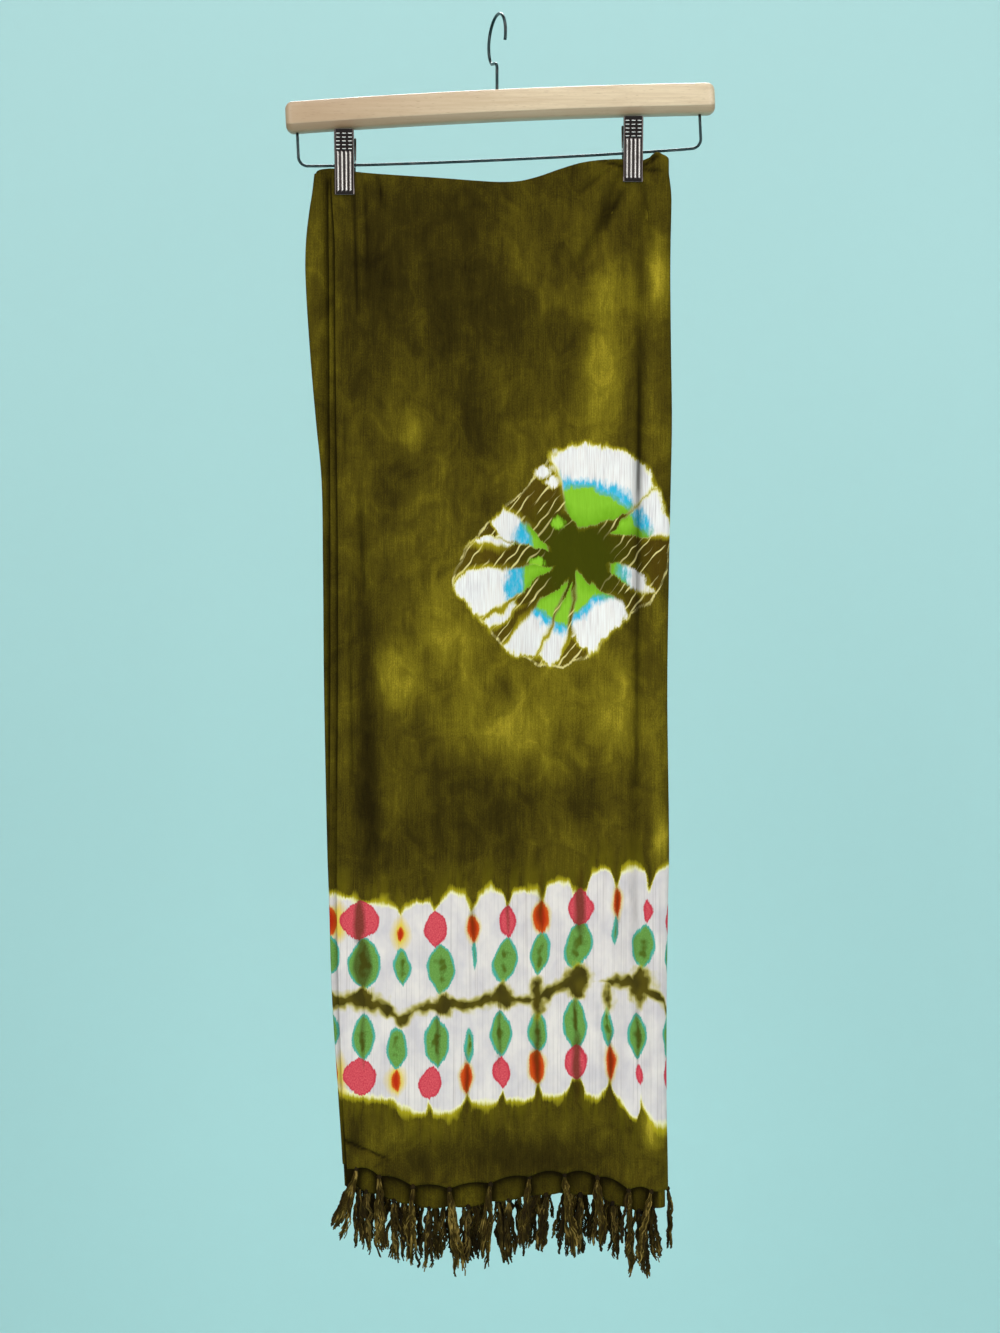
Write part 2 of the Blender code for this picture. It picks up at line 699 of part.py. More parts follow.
def build_jaw(name, clip_x, wire_z, facing, look, group):
    """One pressed plate with four ribs and bent sides. facing is -1 in front and +1 behind."""
    half = CLIP_WIDTH / 2
    inner = [RIB_PITCH * (k - 4) / 2 for k in range(9)]
    mesh = bmesh.new()
    grid = []
    for row in JAW:
        line = [(-half, row.out - row.flange), (-half, row.out)]
        line += [(x, row.out + RIB_HEIGHT * row.ribs * (k % 2)) for k, x in enumerate(inner)]
        line += [(half, row.out), (half, row.out - row.flange)]
        grid.append(
            [mesh.verts.new((clip_x + x, facing * y, wire_z + row.z)) for x, y in line]
        )
    for upper, lower in zip(grid, grid[1:]):
        for k in range(len(upper) - 1):
            corners = (upper[k], lower[k], lower[k + 1], upper[k + 1])
            mesh.faces.new(corners if facing < 0 else corners[::-1])
    jaw = mesh_object(name, mesh, look, group)
    thicken(jaw, CLIP_PLATE, -1.0)
    return jaw


def build_spring(name, clip_x, wire_z, slope, look, group):
    """The coil round the wire, as a turned sleeve."""
    data = bpy.data.meshes.new(name)
    half = SPRING_LENGTH / 2
    profile = [
        (SPRING_BORE, 0, half),
        (SPRING_RADIUS, 0, half),
        (SPRING_RADIUS, 0, -half),
        (SPRING_BORE, 0, -half),
    ]
    data.from_pydata(profile, [(0, 1), (1, 2), (2, 3), (3, 0)], [])
    made = bpy.data.objects.new(name, data)
    made.data.materials.append(look)
    group.objects.link(made)
    made.location = (clip_x, 0.0, wire_z)
    made.rotation_euler = (0.0, math.pi / 2 - slope, 0.0)
    turn = made.modifiers.new("turn", "SCREW")
    turn.steps = turn.render_steps = 12
    turn.use_merge_vertices = True
    turn.merge_threshold = 0.00001
    return made


def build_clips(look, group):
    for side, clip_x in CLIP_X.items():
        local_x = clip_x * math.cos(TILT)
        wire_z = BAR_TOP + clip_x * math.sin(TILT) + wire_height(local_x) * math.cos(TILT)
        slope = TILT + 2 * WIRE_SAG * local_x / WIRE_HALF_SPAN ** 2
        build_jaw(f"clip_{side}_front", clip_x, wire_z, -1, look, group)
        build_jaw(f"clip_{side}_back", clip_x, wire_z, 1, look, group)
        build_spring(f"clip_{side}_spring", clip_x, wire_z, slope, look, group)


def build():
    clear_scene()
    group = collection("sarong_on_clip_hanger")
    cutters = collection("cutters")
    cloth = material("dyed_rayon", (0.115, 0.095, 0.012), 0.85)
    yarn = material("fringe_yarn", (0.085, 0.065, 0.012), 0.90)
    wood = material("pale_wood", (0.66, 0.50, 0.32), 0.55)
    steel = material("chromed_steel", (0.55, 0.55, 0.56), 0.22, 1.0)
    cloth_wall(
        "cloth_outer",
        outer_columns(),
        OUTER_ROWS + LOWER_ROWS,
        OUTER_ROWS + LOWER_ROWS_INSIDE,
        cloth,
        group,
    )
    cloth_wall("cloth_inner", inner_columns(), INNER_ROWS, INNER_ROWS, cloth, group)
    fringe("fringe_front_end", 0.5, end_stations(0.5, 3), yarn, group, 5)
    fringe("fringe_under_end", -0.5, end_stations(-0.5, 7), yarn, group, 11)
    hanger = bpy.data.objects.new("hanger", None)
    group.objects.link(hanger)
    hanger.location = (0.0, 0.0, BAR_TOP)
    hanger.rotation_euler = (0.0, -TILT, 0.0)
    build_bar(hanger, wood, group, cutters)
    build_swing_wire(hanger, steel, group)
    build_hook(steel, group)
    build_clips(steel, group)
    bpy.context.view_layer.update()


build()
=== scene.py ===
"""Looks of a folded, resist-dyed sarong on a clip hanger, built round its packed frame.

Metres, +Z up, +X to the viewer's right, +Y away from the viewer. The origin is where the hook
rests on a rail. Tables of the dyed pattern are in millimetres from the origin.
"""

import functools
import math
import random
from collections import namedtuple

import bmesh
import bpy
from mathutils import Matrix, Vector, noise


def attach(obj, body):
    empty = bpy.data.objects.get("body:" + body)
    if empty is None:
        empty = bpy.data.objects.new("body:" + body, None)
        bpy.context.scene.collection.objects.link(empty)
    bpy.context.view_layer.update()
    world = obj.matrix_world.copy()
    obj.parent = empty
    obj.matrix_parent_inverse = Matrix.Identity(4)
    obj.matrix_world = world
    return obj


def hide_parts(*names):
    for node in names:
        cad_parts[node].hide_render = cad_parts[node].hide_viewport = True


bl_info = {
    "name": "Sarong on a Clip Hanger",
    "version": (1, 0, 0),
    "blender": (4, 5, 0),
    "location": "View3D > Sidebar > Sarong",
    "description": "Builds a folded, resist-dyed sarong with its fringe and clip hanger",
    "category": "Add Mesh",
}

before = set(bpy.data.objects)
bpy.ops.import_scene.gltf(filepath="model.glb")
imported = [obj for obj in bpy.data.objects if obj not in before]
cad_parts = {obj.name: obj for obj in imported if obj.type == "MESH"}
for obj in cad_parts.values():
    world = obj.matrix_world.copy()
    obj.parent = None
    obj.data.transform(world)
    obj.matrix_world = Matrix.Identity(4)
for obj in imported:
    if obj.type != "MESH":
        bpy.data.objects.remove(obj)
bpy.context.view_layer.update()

MM = 0.001

# The cloth's form, as in the solids it stands for.
SOLID_WALL = 0.0010
BOTTOM_SHIFT = 0.0175
TOP_DATUM = -0.131
SEAM = 0.0003
SEAM_X = -0.1180
INNER_TUCK = 0.0012

Outline = namedtuple("Outline", "drop front_edge under_edge back_fold right_fold pitch")
OUTLINE = [
    Outline(0.000, -0.1374, -0.1399, -0.1531, 0.1436, 0.00155),
    Outline(0.015, -0.1374, -0.1401, -0.1548, 0.1455, 0.00155),
    Outline(0.030, -0.1366, -0.1401, -0.1572, 0.1457, 0.00156),
    Outline(0.056, -0.1349, -0.1401, -0.1600, 0.1451, 0.00160),
    Outline(0.085, -0.1345, -0.1397, -0.1604, 0.1448, 0.00165),
    Outline(0.148, -0.1339, -0.1392, -0.1565, 0.1453, 0.00175),
    Outline(0.206, -0.1332, -0.1390, -0.1515, 0.1460, 0.00185),
    Outline(0.256, -0.1322, -0.1383, -0.1468, 0.1451, 0.00200),
    Outline(0.322, -0.1316, -0.1382, -0.1457, 0.1437, 0.00207),
    Outline(0.430, -0.1316, -0.1382, -0.1448, 0.1423, 0.00218),
    Outline(0.563, -0.1324, -0.1391, -0.1421, 0.1436, 0.00232),
    Outline(0.604, -0.1325, -0.1388, -0.1407, 0.1428, 0.00236),
    Outline(0.687, -0.1307, -0.1365, -0.1382, 0.1416, 0.00244),
    Outline(0.770, -0.1274, -0.1307, -0.1330, 0.1415, 0.00253),
    Outline(0.812, -0.1249, -0.1278, -0.1302, 0.1423, 0.00257),
    Outline(0.845, -0.1228, -0.1260, -0.1285, 0.1428, 0.00260),
]

TopPoint = namedtuple("TopPoint", "x z")
TOP_EDGE = [
    TopPoint(-0.1600, -0.1345), TopPoint(-0.1527, -0.1312), TopPoint(-0.1469, -0.1294),
    TopPoint(-0.1361, -0.1286), TopPoint(-0.1162, -0.1311), TopPoint(-0.0971, -0.1328),
    TopPoint(-0.0473, -0.1361), TopPoint(-0.0141, -0.1386), TopPoint(0.0025, -0.1394),
    TopPoint(0.0191, -0.1386), TopPoint(0.0357, -0.1345), TopPoint(0.0523, -0.1287),
    TopPoint(0.0689, -0.1237), TopPoint(0.0855, -0.1212), TopPoint(0.1038, -0.1204),
    TopPoint(0.1237, -0.1212), TopPoint(0.1310, -0.1152), TopPoint(0.1345, -0.1148),
    TopPoint(0.1385, -0.1172), TopPoint(0.1415, -0.1208), TopPoint(0.1437, -0.1245),
    TopPoint(0.1490, -0.1290),
]

Tassel = namedtuple("Tassel", "x z lean length")
FRONT_TASSELS = [
    Tassel(-0.1163, -0.9574, -0.0145, 0.060), Tassel(-0.0975, -0.9638, 0.0030, 0.070),
    Tassel(-0.0697, -0.9729, -0.0020, 0.069), Tassel(-0.0394, -0.9754, 0.0080, 0.073),
    Tassel(-0.0054, -0.9712, -0.0040, 0.075), Tassel(0.0270, -0.9655, -0.0060, 0.071),
    Tassel(0.0560, -0.9635, 0.0065, 0.069), Tassel(0.0834, -0.9655, 0.0030, 0.065),
    Tassel(0.1091, -0.9754, -0.0035, 0.058), Tassel(0.1275, -0.9762, -0.0080, 0.066),
]
SCALLOP = 0.0025
HEM_STEP = 0.0023
HEM_ROWS = 14
TURN_STEPS = 8
HEM_ARCH = 0.0046
POCKET = 0.0030
BACK_KNOTS = 10
BACK_KNOT_SPAN = (-0.1180, 0.1240)
INNER_KNOTS = 9
TASSEL_LENGTH = 0.065
THREAD_POINTS = 19
# How far the shade of an edge, of the hem and of the pockets under it reaches.
UNDER_EDGE_SHADE = 0.0030
FRONT_EDGE_SHADE = 0.0019
POCKET_SHADE = 0.0050
HEM_SHADE = 0.0022

# Troughs and ridges: a line, how wide, and how deep. A ridge is negative. The front troughs also get
# painted shade in the cloth's colour.
Crease = namedtuple("Crease", "x0 z0 x1 z1 width depth")
MAIN_FRONT_CREASES = [
    Crease(0.1185, -0.160, 0.1135, -0.780, 0.0055, 0.0024),
    Crease(-0.1120, -0.420, -0.1030, -0.720, 0.0090, 0.0020),
    Crease(0.1020, -0.150, 0.0640, -0.212, 0.0060, 0.0026),
    Crease(0.0760, -0.150, 0.0480, -0.195, 0.0080, -0.0020),
    Crease(0.1090, -0.175, 0.0880, -0.240, 0.0080, -0.0022),
    Crease(-0.0600, -0.180, -0.0520, -0.560, 0.0200, -0.0018),
    Crease(0.0100, -0.300, 0.0220, -0.820, 0.0240, 0.0016),
    Crease(0.0700, -0.500, 0.0800, -0.930, 0.0180, -0.0020),
]
MAIN_BACK_CREASES = [
    Crease(-0.1150, -0.160, -0.0500, -0.330, 0.0110, 0.0022),
    Crease(-0.0800, -0.400, -0.0880, -0.800, 0.0170, 0.0022),
    Crease(0.0150, -0.240, 0.0040, -0.700, 0.0200, -0.0024),
    Crease(0.0950, -0.170, 0.0620, -0.420, 0.0140, 0.0024),
    Crease(0.0920, -0.560, 0.0980, -0.920, 0.0160, -0.0020),
    Crease(-0.0300, -0.700, -0.0220, -0.950, 0.0150, 0.0018),
]
# Finer ones, which only the thin cloth shows. These may cut a little under the main form.
FINE_FRONT_CREASES = [
    Crease(0.0860, -0.1215, 0.1050, -0.1260, 0.0020, 0.0016),
    Crease(0.1045, -0.1240, 0.0830, -0.1760, 0.0040, 0.0015),
    Crease(0.1060, -0.1440, 0.0900, -0.1760, 0.0036, 0.0013),
    Crease(0.0940, -0.1280, 0.0660, -0.1500, 0.0030, 0.0012),
    Crease(0.1340, -0.1175, 0.1210, -0.1265, 0.0018, 0.0018),
    Crease(0.1215, -0.1290, 0.1360, -0.1300, 0.0018, 0.0014),
    Crease(0.1210, -0.1380, 0.1290, -0.1960, 0.0040, 0.0016),
    Crease(-0.1100, -0.1400, -0.1060, -0.2300, 0.0020, 0.0010),
    Crease(-0.1190, -0.150, -0.1155, -0.250, 0.0019, 0.0014),
    Crease(-0.0990, -0.134, -0.0940, -0.162, 0.0017, 0.0012),
    Crease(-0.1260, -0.335, -0.1255, -0.372, 0.0022, 0.0008),
    Crease(-0.1145, -0.392, -0.1100, -0.480, 0.0026, 0.0009),
    Crease(-0.1220, -0.470, -0.1190, -0.730, 0.0022, 0.0010),
    Crease(0.0830, -0.820, 0.0900, -0.920, 0.0020, 0.0008),
    Crease(0.0910, -0.830, 0.0965, -0.900, 0.0018, 0.0007),
    Crease(0.1080, -0.715, 0.1170, -0.755, 0.0020, 0.0008),
    Crease(0.1000, -0.735, 0.1010, -0.900, 0.0070, 0.0014),
    Crease(0.1230, -0.735, 0.1240, -0.900, 0.0050, 0.0011),
    Crease(0.1184, -0.290, 0.1172, -0.400, 0.0022, 0.0010),
    Crease(0.1176, -0.370, 0.1150, -0.700, 0.0018, 0.0004),
    Crease(0.1130, -0.640, 0.1130, -0.860, 0.0030, 0.0010),
    Crease(-0.1290, -0.932, -0.1095, -0.941, 0.0016, 0.0018),
    Crease(-0.1110, -0.940, -0.0890, -0.950, 0.0016, 0.0014),
]
FINE_BACK_CREASES = [
    Crease(-0.1060, -0.150, -0.0840, -0.200, 0.0035, 0.0011),
    Crease(-0.0960, -0.140, -0.0700, -0.175, 0.0030, 0.0010),
    Crease(0.1080, -0.165, 0.0980, -0.240, 0.0035, 0.0011),
    Crease(0.0500, -0.500, 0.0560, -0.760, 0.0028, 0.0009),
    Crease(-0.0550, -0.820, -0.0480, -0.930, 0.0022, 0.0008),
    Crease(-0.1150, -0.600, -0.1120, -0.850, 0.0030, 0.0009),
]
PUFF = 0.0026
SWAY = 0.0024
SWAY_LENGTH = 0.36
MIDDLE_X = 0.002
HALF_WIDTH = 0.1437

# Hanger, as in the solids it stands for.
BAR_LENGTH = 0.358
BAR_HEIGHT = 0.0250
BAR_ARCH = 0.0026
BAR_CAP = 0.0065
CAP_STEPS = 7
BAR_TOP = -0.062
BAR_CENTRE_X = 0.002
TILT = math.radians(2.6)
WIRE_RADIUS = 0.0012
WIRE_HALF_SPAN = 0.1680
WIRE_DROP = 0.0553
WIRE_SAG = 0.0022
WIRE_CORNER = 0.008
WIRE_IN_BAR = 0.008
WELD = 0.000002
HOOK_WIRE_RADIUS = 0.0013
HOOK_RADIUS = 0.0205
HOOK_STEM_TOP = -0.0425
HOOK_IN_BAR = 0.012
HOOK_TURN = math.radians(20)
CLIP_WIDTH = 0.0165
CLIP_PLATE = 0.0009
CLIP_X = {"left": -0.1266, "right": 0.1129}

# The dyed pattern. Each spot is a pointed oval: its centre, width, height, and how far its top leans
# to the right.
Spot = namedtuple("Spot", "x z width height lean", defaults=(0.0,))
SPOTS = {
    "orange": [
        Spot(-79.7, -763.6, 6.6, 13.3), Spot(-83.8, -884.8, 9.5, 18.0),
        Spot(-19.9, -759.4, 10.0, 21.5), Spot(-24.9, -883.1, 11.2, 25.0, 1.0),
        Spot(37.4, -749.5, 13.5, 28.0), Spot(33.2, -873.2, 14.6, 28.5),
        Spot(99.6, -737.9, 7.0, 25.0), Spot(93.8, -869.8, 8.6, 29.0, -1.0),
        Spot(-139.0, -753.0, 15.0, 26.0), Spot(-136.5, -880.0, 9.0, 20.0),
    ],
    "green": [
        Spot(-109.6, -787.7, 29.0, 43.0), Spot(-110.4, -848.3, 18.3, 41.0),
        Spot(-78.0, -791.0, 15.0, 31.5, -2.0), Spot(-83.0, -858.2, 18.3, 36.0),
        Spot(-46.5, -791.8, 23.2, 42.5), Spot(-49.8, -853.2, 21.6, 42.5),
        Spot(-19.1, -781.0, 4.4, 26.0), Spot(-23.2, -855.7, 7.5, 31.0),
        Spot(6.6, -786.0, 19.9, 40.0, 5.0), Spot(3.3, -846.6, 18.8, 38.5, -1.0),
        Spot(35.7, -779.4, 15.8, 36.5, 3.5), Spot(34.0, -844.1, 17.0, 35.0),
        Spot(67.2, -772.7, 22.4, 42.0, 7.0), Spot(64.7, -837.5, 20.2, 43.0),
        Spot(97.9, -761.1, 5.2, 24.0), Spot(91.3, -840.0, 10.0, 36.0, -2.0),
        Spot(121.2, -773.6, 18.6, 39.5, 3.0), Spot(116.2, -847.4, 15.2, 39.5),
        Spot(144.0, -781.0, 11.0, 36.5), Spot(143.0, -849.9, 13.0, 40.5),
        Spot(-139.0, -781.0, 18.0, 34.0), Spot(-138.0, -845.0, 16.0, 30.0),
    ],
    "pink": [
        Spot(-112.9, -752.0, 32.4, 34.0), Spot(-113.2, -880.6, 28.0, 32.0, -3.0),
        Spot(-50.6, -759.4, 19.5, 29.5), Spot(-54.8, -887.3, 18.3, 28.5, 2.0),
        Spot(9.1, -753.6, 14.4, 28.0), Spot(4.1, -878.1, 14.3, 27.0),
        Spot(69.7, -741.2, 21.5, 31.5), Spot(65.6, -869.0, 19.5, 31.0),
        Spot(124.5, -743.7, 8.8, 19.5, 1.0), Spot(117.9, -879.8, 6.8, 18.0, -1.0),
        Spot(144.0, -752.8, 10.0, 27.0), Spot(142.5, -880.6, 9.5, 27.0),
    ],
    "olive": [
        Spot(-46.0, -822.0, 12.0, 16.0), Spot(5.5, -815.5, 17.0, 19.0),
        Spot(33.5, -815.0, 7.0, 26.0), Spot(66.5, -803.0, 17.0, 27.0),
        Spot(118.5, -806.0, 16.0, 27.0), Spot(92.5, -815.0, 4.5, 14.0),
        Spot(-109.5, -816.0, 20.0, 15.0),
    ],
}

Edge = namedtuple("Edge", "x z")
BAND_SPAN = (-160.0, 155.0)
BAND_TOP = [
    Edge(-160.0, -731.0), Edge(-132.8, -731.5), Edge(-121.0, -733.2), Edge(-109.6, -738.5),
    Edge(-97.1, -737.9), Edge(-83.0, -742.0), Edge(-79.7, -748.5), Edge(-76.0, -742.0),
    Edge(-68.1, -738.5), Edge(-55.6, -737.0), Edge(-51.0, -746.0), Edge(-46.5, -737.0),
    Edge(-37.4, -728.0), Edge(-26.6, -732.0), Edge(-21.0, -746.0), Edge(-15.0, -733.0),
    Edge(-5.8, -726.0), Edge(4.0, -731.0), Edge(8.3, -742.5), Edge(12.5, -731.0),
    Edge(21.6, -727.0), Edge(33.0, -728.0), Edge(37.8, -739.0), Edge(42.0, -725.0),
    Edge(50.0, -720.0), Edge(60.0, -720.0), Edge(62.5, -729.0), Edge(75.0, -729.0),
    Edge(78.0, -714.0), Edge(86.0, -708.5), Edge(94.5, -711.0), Edge(99.3, -728.0),
    Edge(104.0, -712.0), Edge(114.0, -707.0), Edge(122.0, -711.0), Edge(126.0, -729.0),
    Edge(131.0, -713.0), Edge(141.9, -707.0), Edge(155.0, -711.0),
]
BAND_BOTTOM = [
    Edge(-160.0, -893.0), Edge(-130.3, -893.6), Edge(-109.6, -897.0), Edge(-86.0, -899.0),
    Edge(-78.0, -907.0), Edge(-68.1, -911.5), Edge(-60.0, -911.0), Edge(-57.0, -903.0),
    Edge(-53.0, -911.0), Edge(-39.0, -912.0), Edge(-31.0, -907.0), Edge(-25.5, -895.0),
    Edge(-20.0, -903.0), Edge(-5.8, -903.5), Edge(1.0, -902.0), Edge(3.5, -892.0),
    Edge(7.0, -901.0), Edge(23.2, -900.5), Edge(29.5, -897.0), Edge(33.2, -885.0),
    Edge(38.0, -896.0), Edge(52.3, -897.5), Edge(58.5, -893.0), Edge(61.0, -883.0),
    Edge(69.5, -883.0), Edge(72.5, -894.0), Edge(84.0, -898.0), Edge(90.0, -893.0),
    Edge(93.5, -880.0), Edge(98.0, -898.0), Edge(106.0, -907.0), Edge(115.5, -916.0),
    Edge(119.3, -899.0), Edge(123.5, -914.0), Edge(131.1, -921.0), Edge(142.0, -923.0),
    Edge(155.0, -920.0),
]
# The crossing line of dye in the band, and half its thickness.
Line = namedtuple("Line", "x z half")
MID_LINE = [
    Line(-160.0, -819.0, 5.0), Line(-137.8, -819.2, 5.0), Line(-120.0, -818.0, 4.0),
    Line(-108.7, -819.2, 4.2), Line(-94.6, -822.5, 4.0), Line(-86.0, -828.0, 3.6),
    Line(-80.5, -834.0, 3.6), Line(-74.0, -830.5, 1.8), Line(-64.0, -826.0, 2.4),
    Line(-49.0, -822.5, 3.2), Line(-38.0, -820.5, 3.0), Line(-27.4, -822.5, 3.4),
    Line(-14.0, -820.0, 2.6), Line(-2.5, -817.5, 3.2), Line(10.8, -815.9, 3.4),
    Line(20.0, -819.0, 1.4), Line(28.2, -818.5, 1.2), Line(34.0, -816.0, 2.4),
    Line(44.8, -810.1, 2.6), Line(59.8, -803.4, 3.6), Line(73.0, -802.6, 3.6),
    Line(78.0, -802.6, -3.0), Line(90.0, -802.6, -3.0), Line(95.0, -802.6, 3.2),
    Line(109.6, -803.4, 3.8), Line(117.0, -807.4, 3.6), Line(129.5, -813.2, 2.4),
    Line(137.0, -819.9, 1.8), Line(140.3, -829.0, 1.2), Line(155.0, -832.0, 1.0),
]

# The tied ring: for each angle, how far from its centre the dark star, the lime, the blue and the
# white reach. Angles grow from the right, against the clock. Between the rows of one petal and the
# next, the cloth was bound and stayed dark.
RING_CENTRE = (67.2, -453.2)
TURN = (-180.0, 180.0)
CRACK_LEAN = math.radians(51.0)
CRACK_PITCH = 6.2
Ray = namedtuple("Ray", "angle star lime blue white")
PETALS = [
    [Ray(-174, 38, 46, 60, 93), Ray(-166, 22, 47, 63, 105), Ray(-158, 27, 50, 66, 99),
     Ray(-150, 48, 54, 70, 94)],
    [Ray(-146, 66, 66, 66, 92), Ray(-142, 66, 66, 66, 94)],
    [Ray(-131, 42, 54, 63, 91), Ray(-124, 25, 54, 62, 93), Ray(-114, 21, 56, 63, 87)],
    [Ray(-111, 38, 56, 63, 85), Ray(-105, 20, 56, 64, 93), Ray(-99, 30, 57, 64, 80)],
    [Ray(-94, 10, 46, 54, 62), Ray(-83, 11, 40, 48, 78), Ray(-73, 13, 36, 44, 70),
     Ray(-62, 21, 34, 42, 65), Ray(-55, 30, 34, 42, 64), Ray(-48, 38, 38, 46, 60)],
    [Ray(-27, 44, 44, 50, 60), Ray(-21, 30, 34, 44, 60), Ray(-10, 26, 32, 42, 50),
     Ray(-7, 36, 36, 41, 44)],
    [Ray(17, 60, 60, 64, 80), Ray(24, 50, 59, 66, 81), Ray(32, 39, 58, 67, 83),
     Ray(38, 33, 58, 67, 85), Ray(42, 50, 58, 67, 86)],
    [Ray(44, 57, 59, 67, 87), Ray(48, 47, 59, 68, 90), Ray(55, 39, 59.5, 69, 95),
     Ray(63, 31, 60, 68, 96), Ray(75, 26, 59, 66, 95), Ray(85, 25, 60, 66, 95),
     Ray(93, 27, 61, 67, 94), Ray(99, 33, 61, 69, 90), Ray(103, 44, 61, 71, 87)],
    [Ray(146, 48, 50, 58, 74), Ray(155, 27, 45, 58, 78), Ray(164, 23, 42, 56, 64)],
    [Ray(166, 57, 57, 57, 82), Ray(169.5, 60, 60, 60, 86)],
]
# Small loose blots beside the petals.
BLOTS = {
    "white": [
        Spot(37.9, -380.1, 12.0, 11.0), Spot(46.6, -388.6, 11.0, 9.5),
        Spot(48.5, -367.0, 8.0, 11.0, 3.0), Spot(48.5, -376.5, 9.0, 8.0),
        Spot(1.0, -421.5, 7.0, 4.0), Spot(122.5, -478.6, 10.0, 6.0),
    ],
    "lime": [
        Spot(51.2, -423.0, 9.0, 10.0), Spot(27.5, -466.0, 8.0, 17.0, 3.0),
        Spot(33.0, -456.0, 10.0, 8.0),
    ],
}
# How far the binding reached at each angle: the outline of the dark, crackled ground.
Rim = namedtuple("Rim", "angle reach")
RING_RIM = [
    Rim(-180, 98), Rim(-166, 106), Rim(-150, 95), Rim(-141, 93), Rim(-130, 92), Rim(-118, 92),
    Rim(-104, 93), Rim(-95, 86), Rim(-82, 79), Rim(-66, 66), Rim(-47, 62), Rim(-30, 68),
    Rim(-15, 72), Rim(0, 75), Rim(17, 80), Rim(27, 81), Rim(42, 86), Rim(61, 96), Rim(92, 95),
    Rim(104, 88), Rim(112, 82), Rim(130, 72), Rim(146, 74), Rim(158, 82), Rim(166, 85),
    Rim(180, 98),
]

# The heights between which the ring's dyes give way to the band's.
RING_TO_BAND = (-640.0, -644.0)

# Where the ground is lighter or darker than its general mottle: partly uneven dye, and partly painted
# light and shade of the cloth's broad folds and its lower part.
Patch = namedtuple("Patch", "x z width height lift")
PATCHES = [
    Patch(30.0, -565.0, 190.0, 200.0, 0.20), Patch(-50.0, -470.0, 110.0, 180.0, 0.13),
    Patch(136.0, -610.0, 30.0, 220.0, 0.16), Patch(134.0, -214.0, 26.0, 80.0, 0.36),
    Patch(128.0, -330.0, 22.0, 170.0, 0.10), Patch(86.0, -296.0, 48.0, 176.0, 0.33),
    Patch(70.0, -345.0, 90.0, 90.0, 0.16), Patch(108.0, -235.0, 60.0, 130.0, 0.12),
    Patch(-84.0, -556.0, 58.0, 84.0, 0.34), Patch(-62.0, -520.0, 90.0, 120.0, 0.14),
    Patch(104.0, -575.0, 66.0, 120.0, 0.33), Patch(80.0, -525.0, 44.0, 60.0, 0.20),
    Patch(40.0, -600.0, 120.0, 90.0, 0.12), Patch(136.0, -690.0, 24.0, 70.0, 0.36),
    Patch(-10.0, -590.0, 120.0, 60.0, 0.14), Patch(20.0, -395.0, 70.0, 80.0, 0.12),
    Patch(-72.0, -350.0, 30.0, 60.0, 0.22), Patch(-60.0, -420.0, 60.0, 60.0, 0.12),
    Patch(-138.0, -290.0, 14.0, 90.0, 0.16), Patch(-20.0, -250.0, 130.0, 170.0, -0.16),
    Patch(-90.0, -215.0, 100.0, 170.0, -0.26), Patch(-40.0, -160.0, 180.0, 60.0, -0.10),
    Patch(-18.0, -330.0, 44.0, 90.0, -0.16), Patch(-72.0, -470.0, 60.0, 90.0, -0.08),
    Patch(-107.0, -620.0, 30.0, 260.0, -0.30), Patch(-30.0, -650.0, 110.0, 110.0, -0.14),
    Patch(60.0, -655.0, 90.0, 60.0, -0.12), Patch(112.0, -405.0, 40.0, 50.0, -0.10),
    Patch(-60.0, -930.0, 60.0, 40.0, 0.12), Patch(128.0, -924.0, 26.0, 50.0, 0.46),
    Patch(-30.0, -955.0, 240.0, 60.0, -0.14), Patch(40.0, -945.0, 150.0, 44.0, -0.16),
    Patch(-118.0, -930.0, 30.0, 60.0, -0.14),
]


def srgb(red, green, blue):
    """Linear colour, with alpha, of a screen colour given from 0 to 255."""
    linear = []
    for level in (red, green, blue):
        share = level / 255
        linear.append(share / 12.92 if share <= 0.04045 else ((share + 0.055) / 1.055) ** 2.4)
    return (*linear, 1.0)


def smooth_between(points, at):
    """Value at `at` on a curve through (place, value) pairs, flat beyond its ends."""
    if at <= points[0][0]:
        return points[0][1]
    if at >= points[-1][0]:
        return points[-1][1]
    i = max(k for k in range(len(points) - 1) if points[k][0] <= at)
    (x0, y0), (x1, y1) = points[i][:2], points[i + 1][:2]
    slopes = []
    for k in (i, i + 1):
        low, high = points[max(k - 1, 0)], points[min(k + 1, len(points) - 1)]
        slopes.append((high[1] - low[1]) / (high[0] - low[0]))
    span = x1 - x0
    t = (at - x0) / span
    rise = y0 * (1 + 2 * t) * (1 - t) ** 2 + y1 * t * t * (3 - 2 * t)
    return rise + span * (slopes[0] * t * (1 - t) ** 2 - slopes[1] * t * t * (1 - t))


def ease(low, high, at):
    """Smooth rise from 0 at low to 1 at high."""
    t = min(1.0, max(0.0, (at - low) / (high - low)))
    return t * t * (3 - 2 * t)


@functools.lru_cache(maxsize=None)
def outline_at(step):
    """The outline's row at a height of `step` tenths of a millimetre."""
    drop = TOP_DATUM - step * 0.0001
    fields = Outline._fields[1:]
    rows = [[(row.drop, getattr(row, field)) for row in OUTLINE] for field in fields]
    return Outline(drop, *(smooth_between(row, drop) for row in rows))


def outline(z):
    """The outline's row at height z."""
    return outline_at(round(z * 10000))


def top_edge(x):
    """Height of the folded top edge at x."""
    return smooth_between(TOP_EDGE, x)


def front_knots():
    """Place of each knot along the front hem."""
    return [(row.x, row.z) for row in FRONT_TASSELS]


def back_knots():
    """Evenly spaced knots along the back panel, at the height of the front ones."""
    first, last = BACK_KNOT_SPAN
    places = [first + (last - first) * k / (BACK_KNOTS - 1) for k in range(BACK_KNOTS)]
    return [(x, smooth_between(front_knots(), x)) for x in places]


def hem_arch(knots, x):
    """How far the hem rises between two knots, as a share of the whole scallop."""
    for (x0, _), (x1, _) in zip(knots, knots[1:]):
        if x0 <= x <= x1:
            return math.sin(math.pi * (x - x0) / (x1 - x0)) ** 0.75
    return 0.0


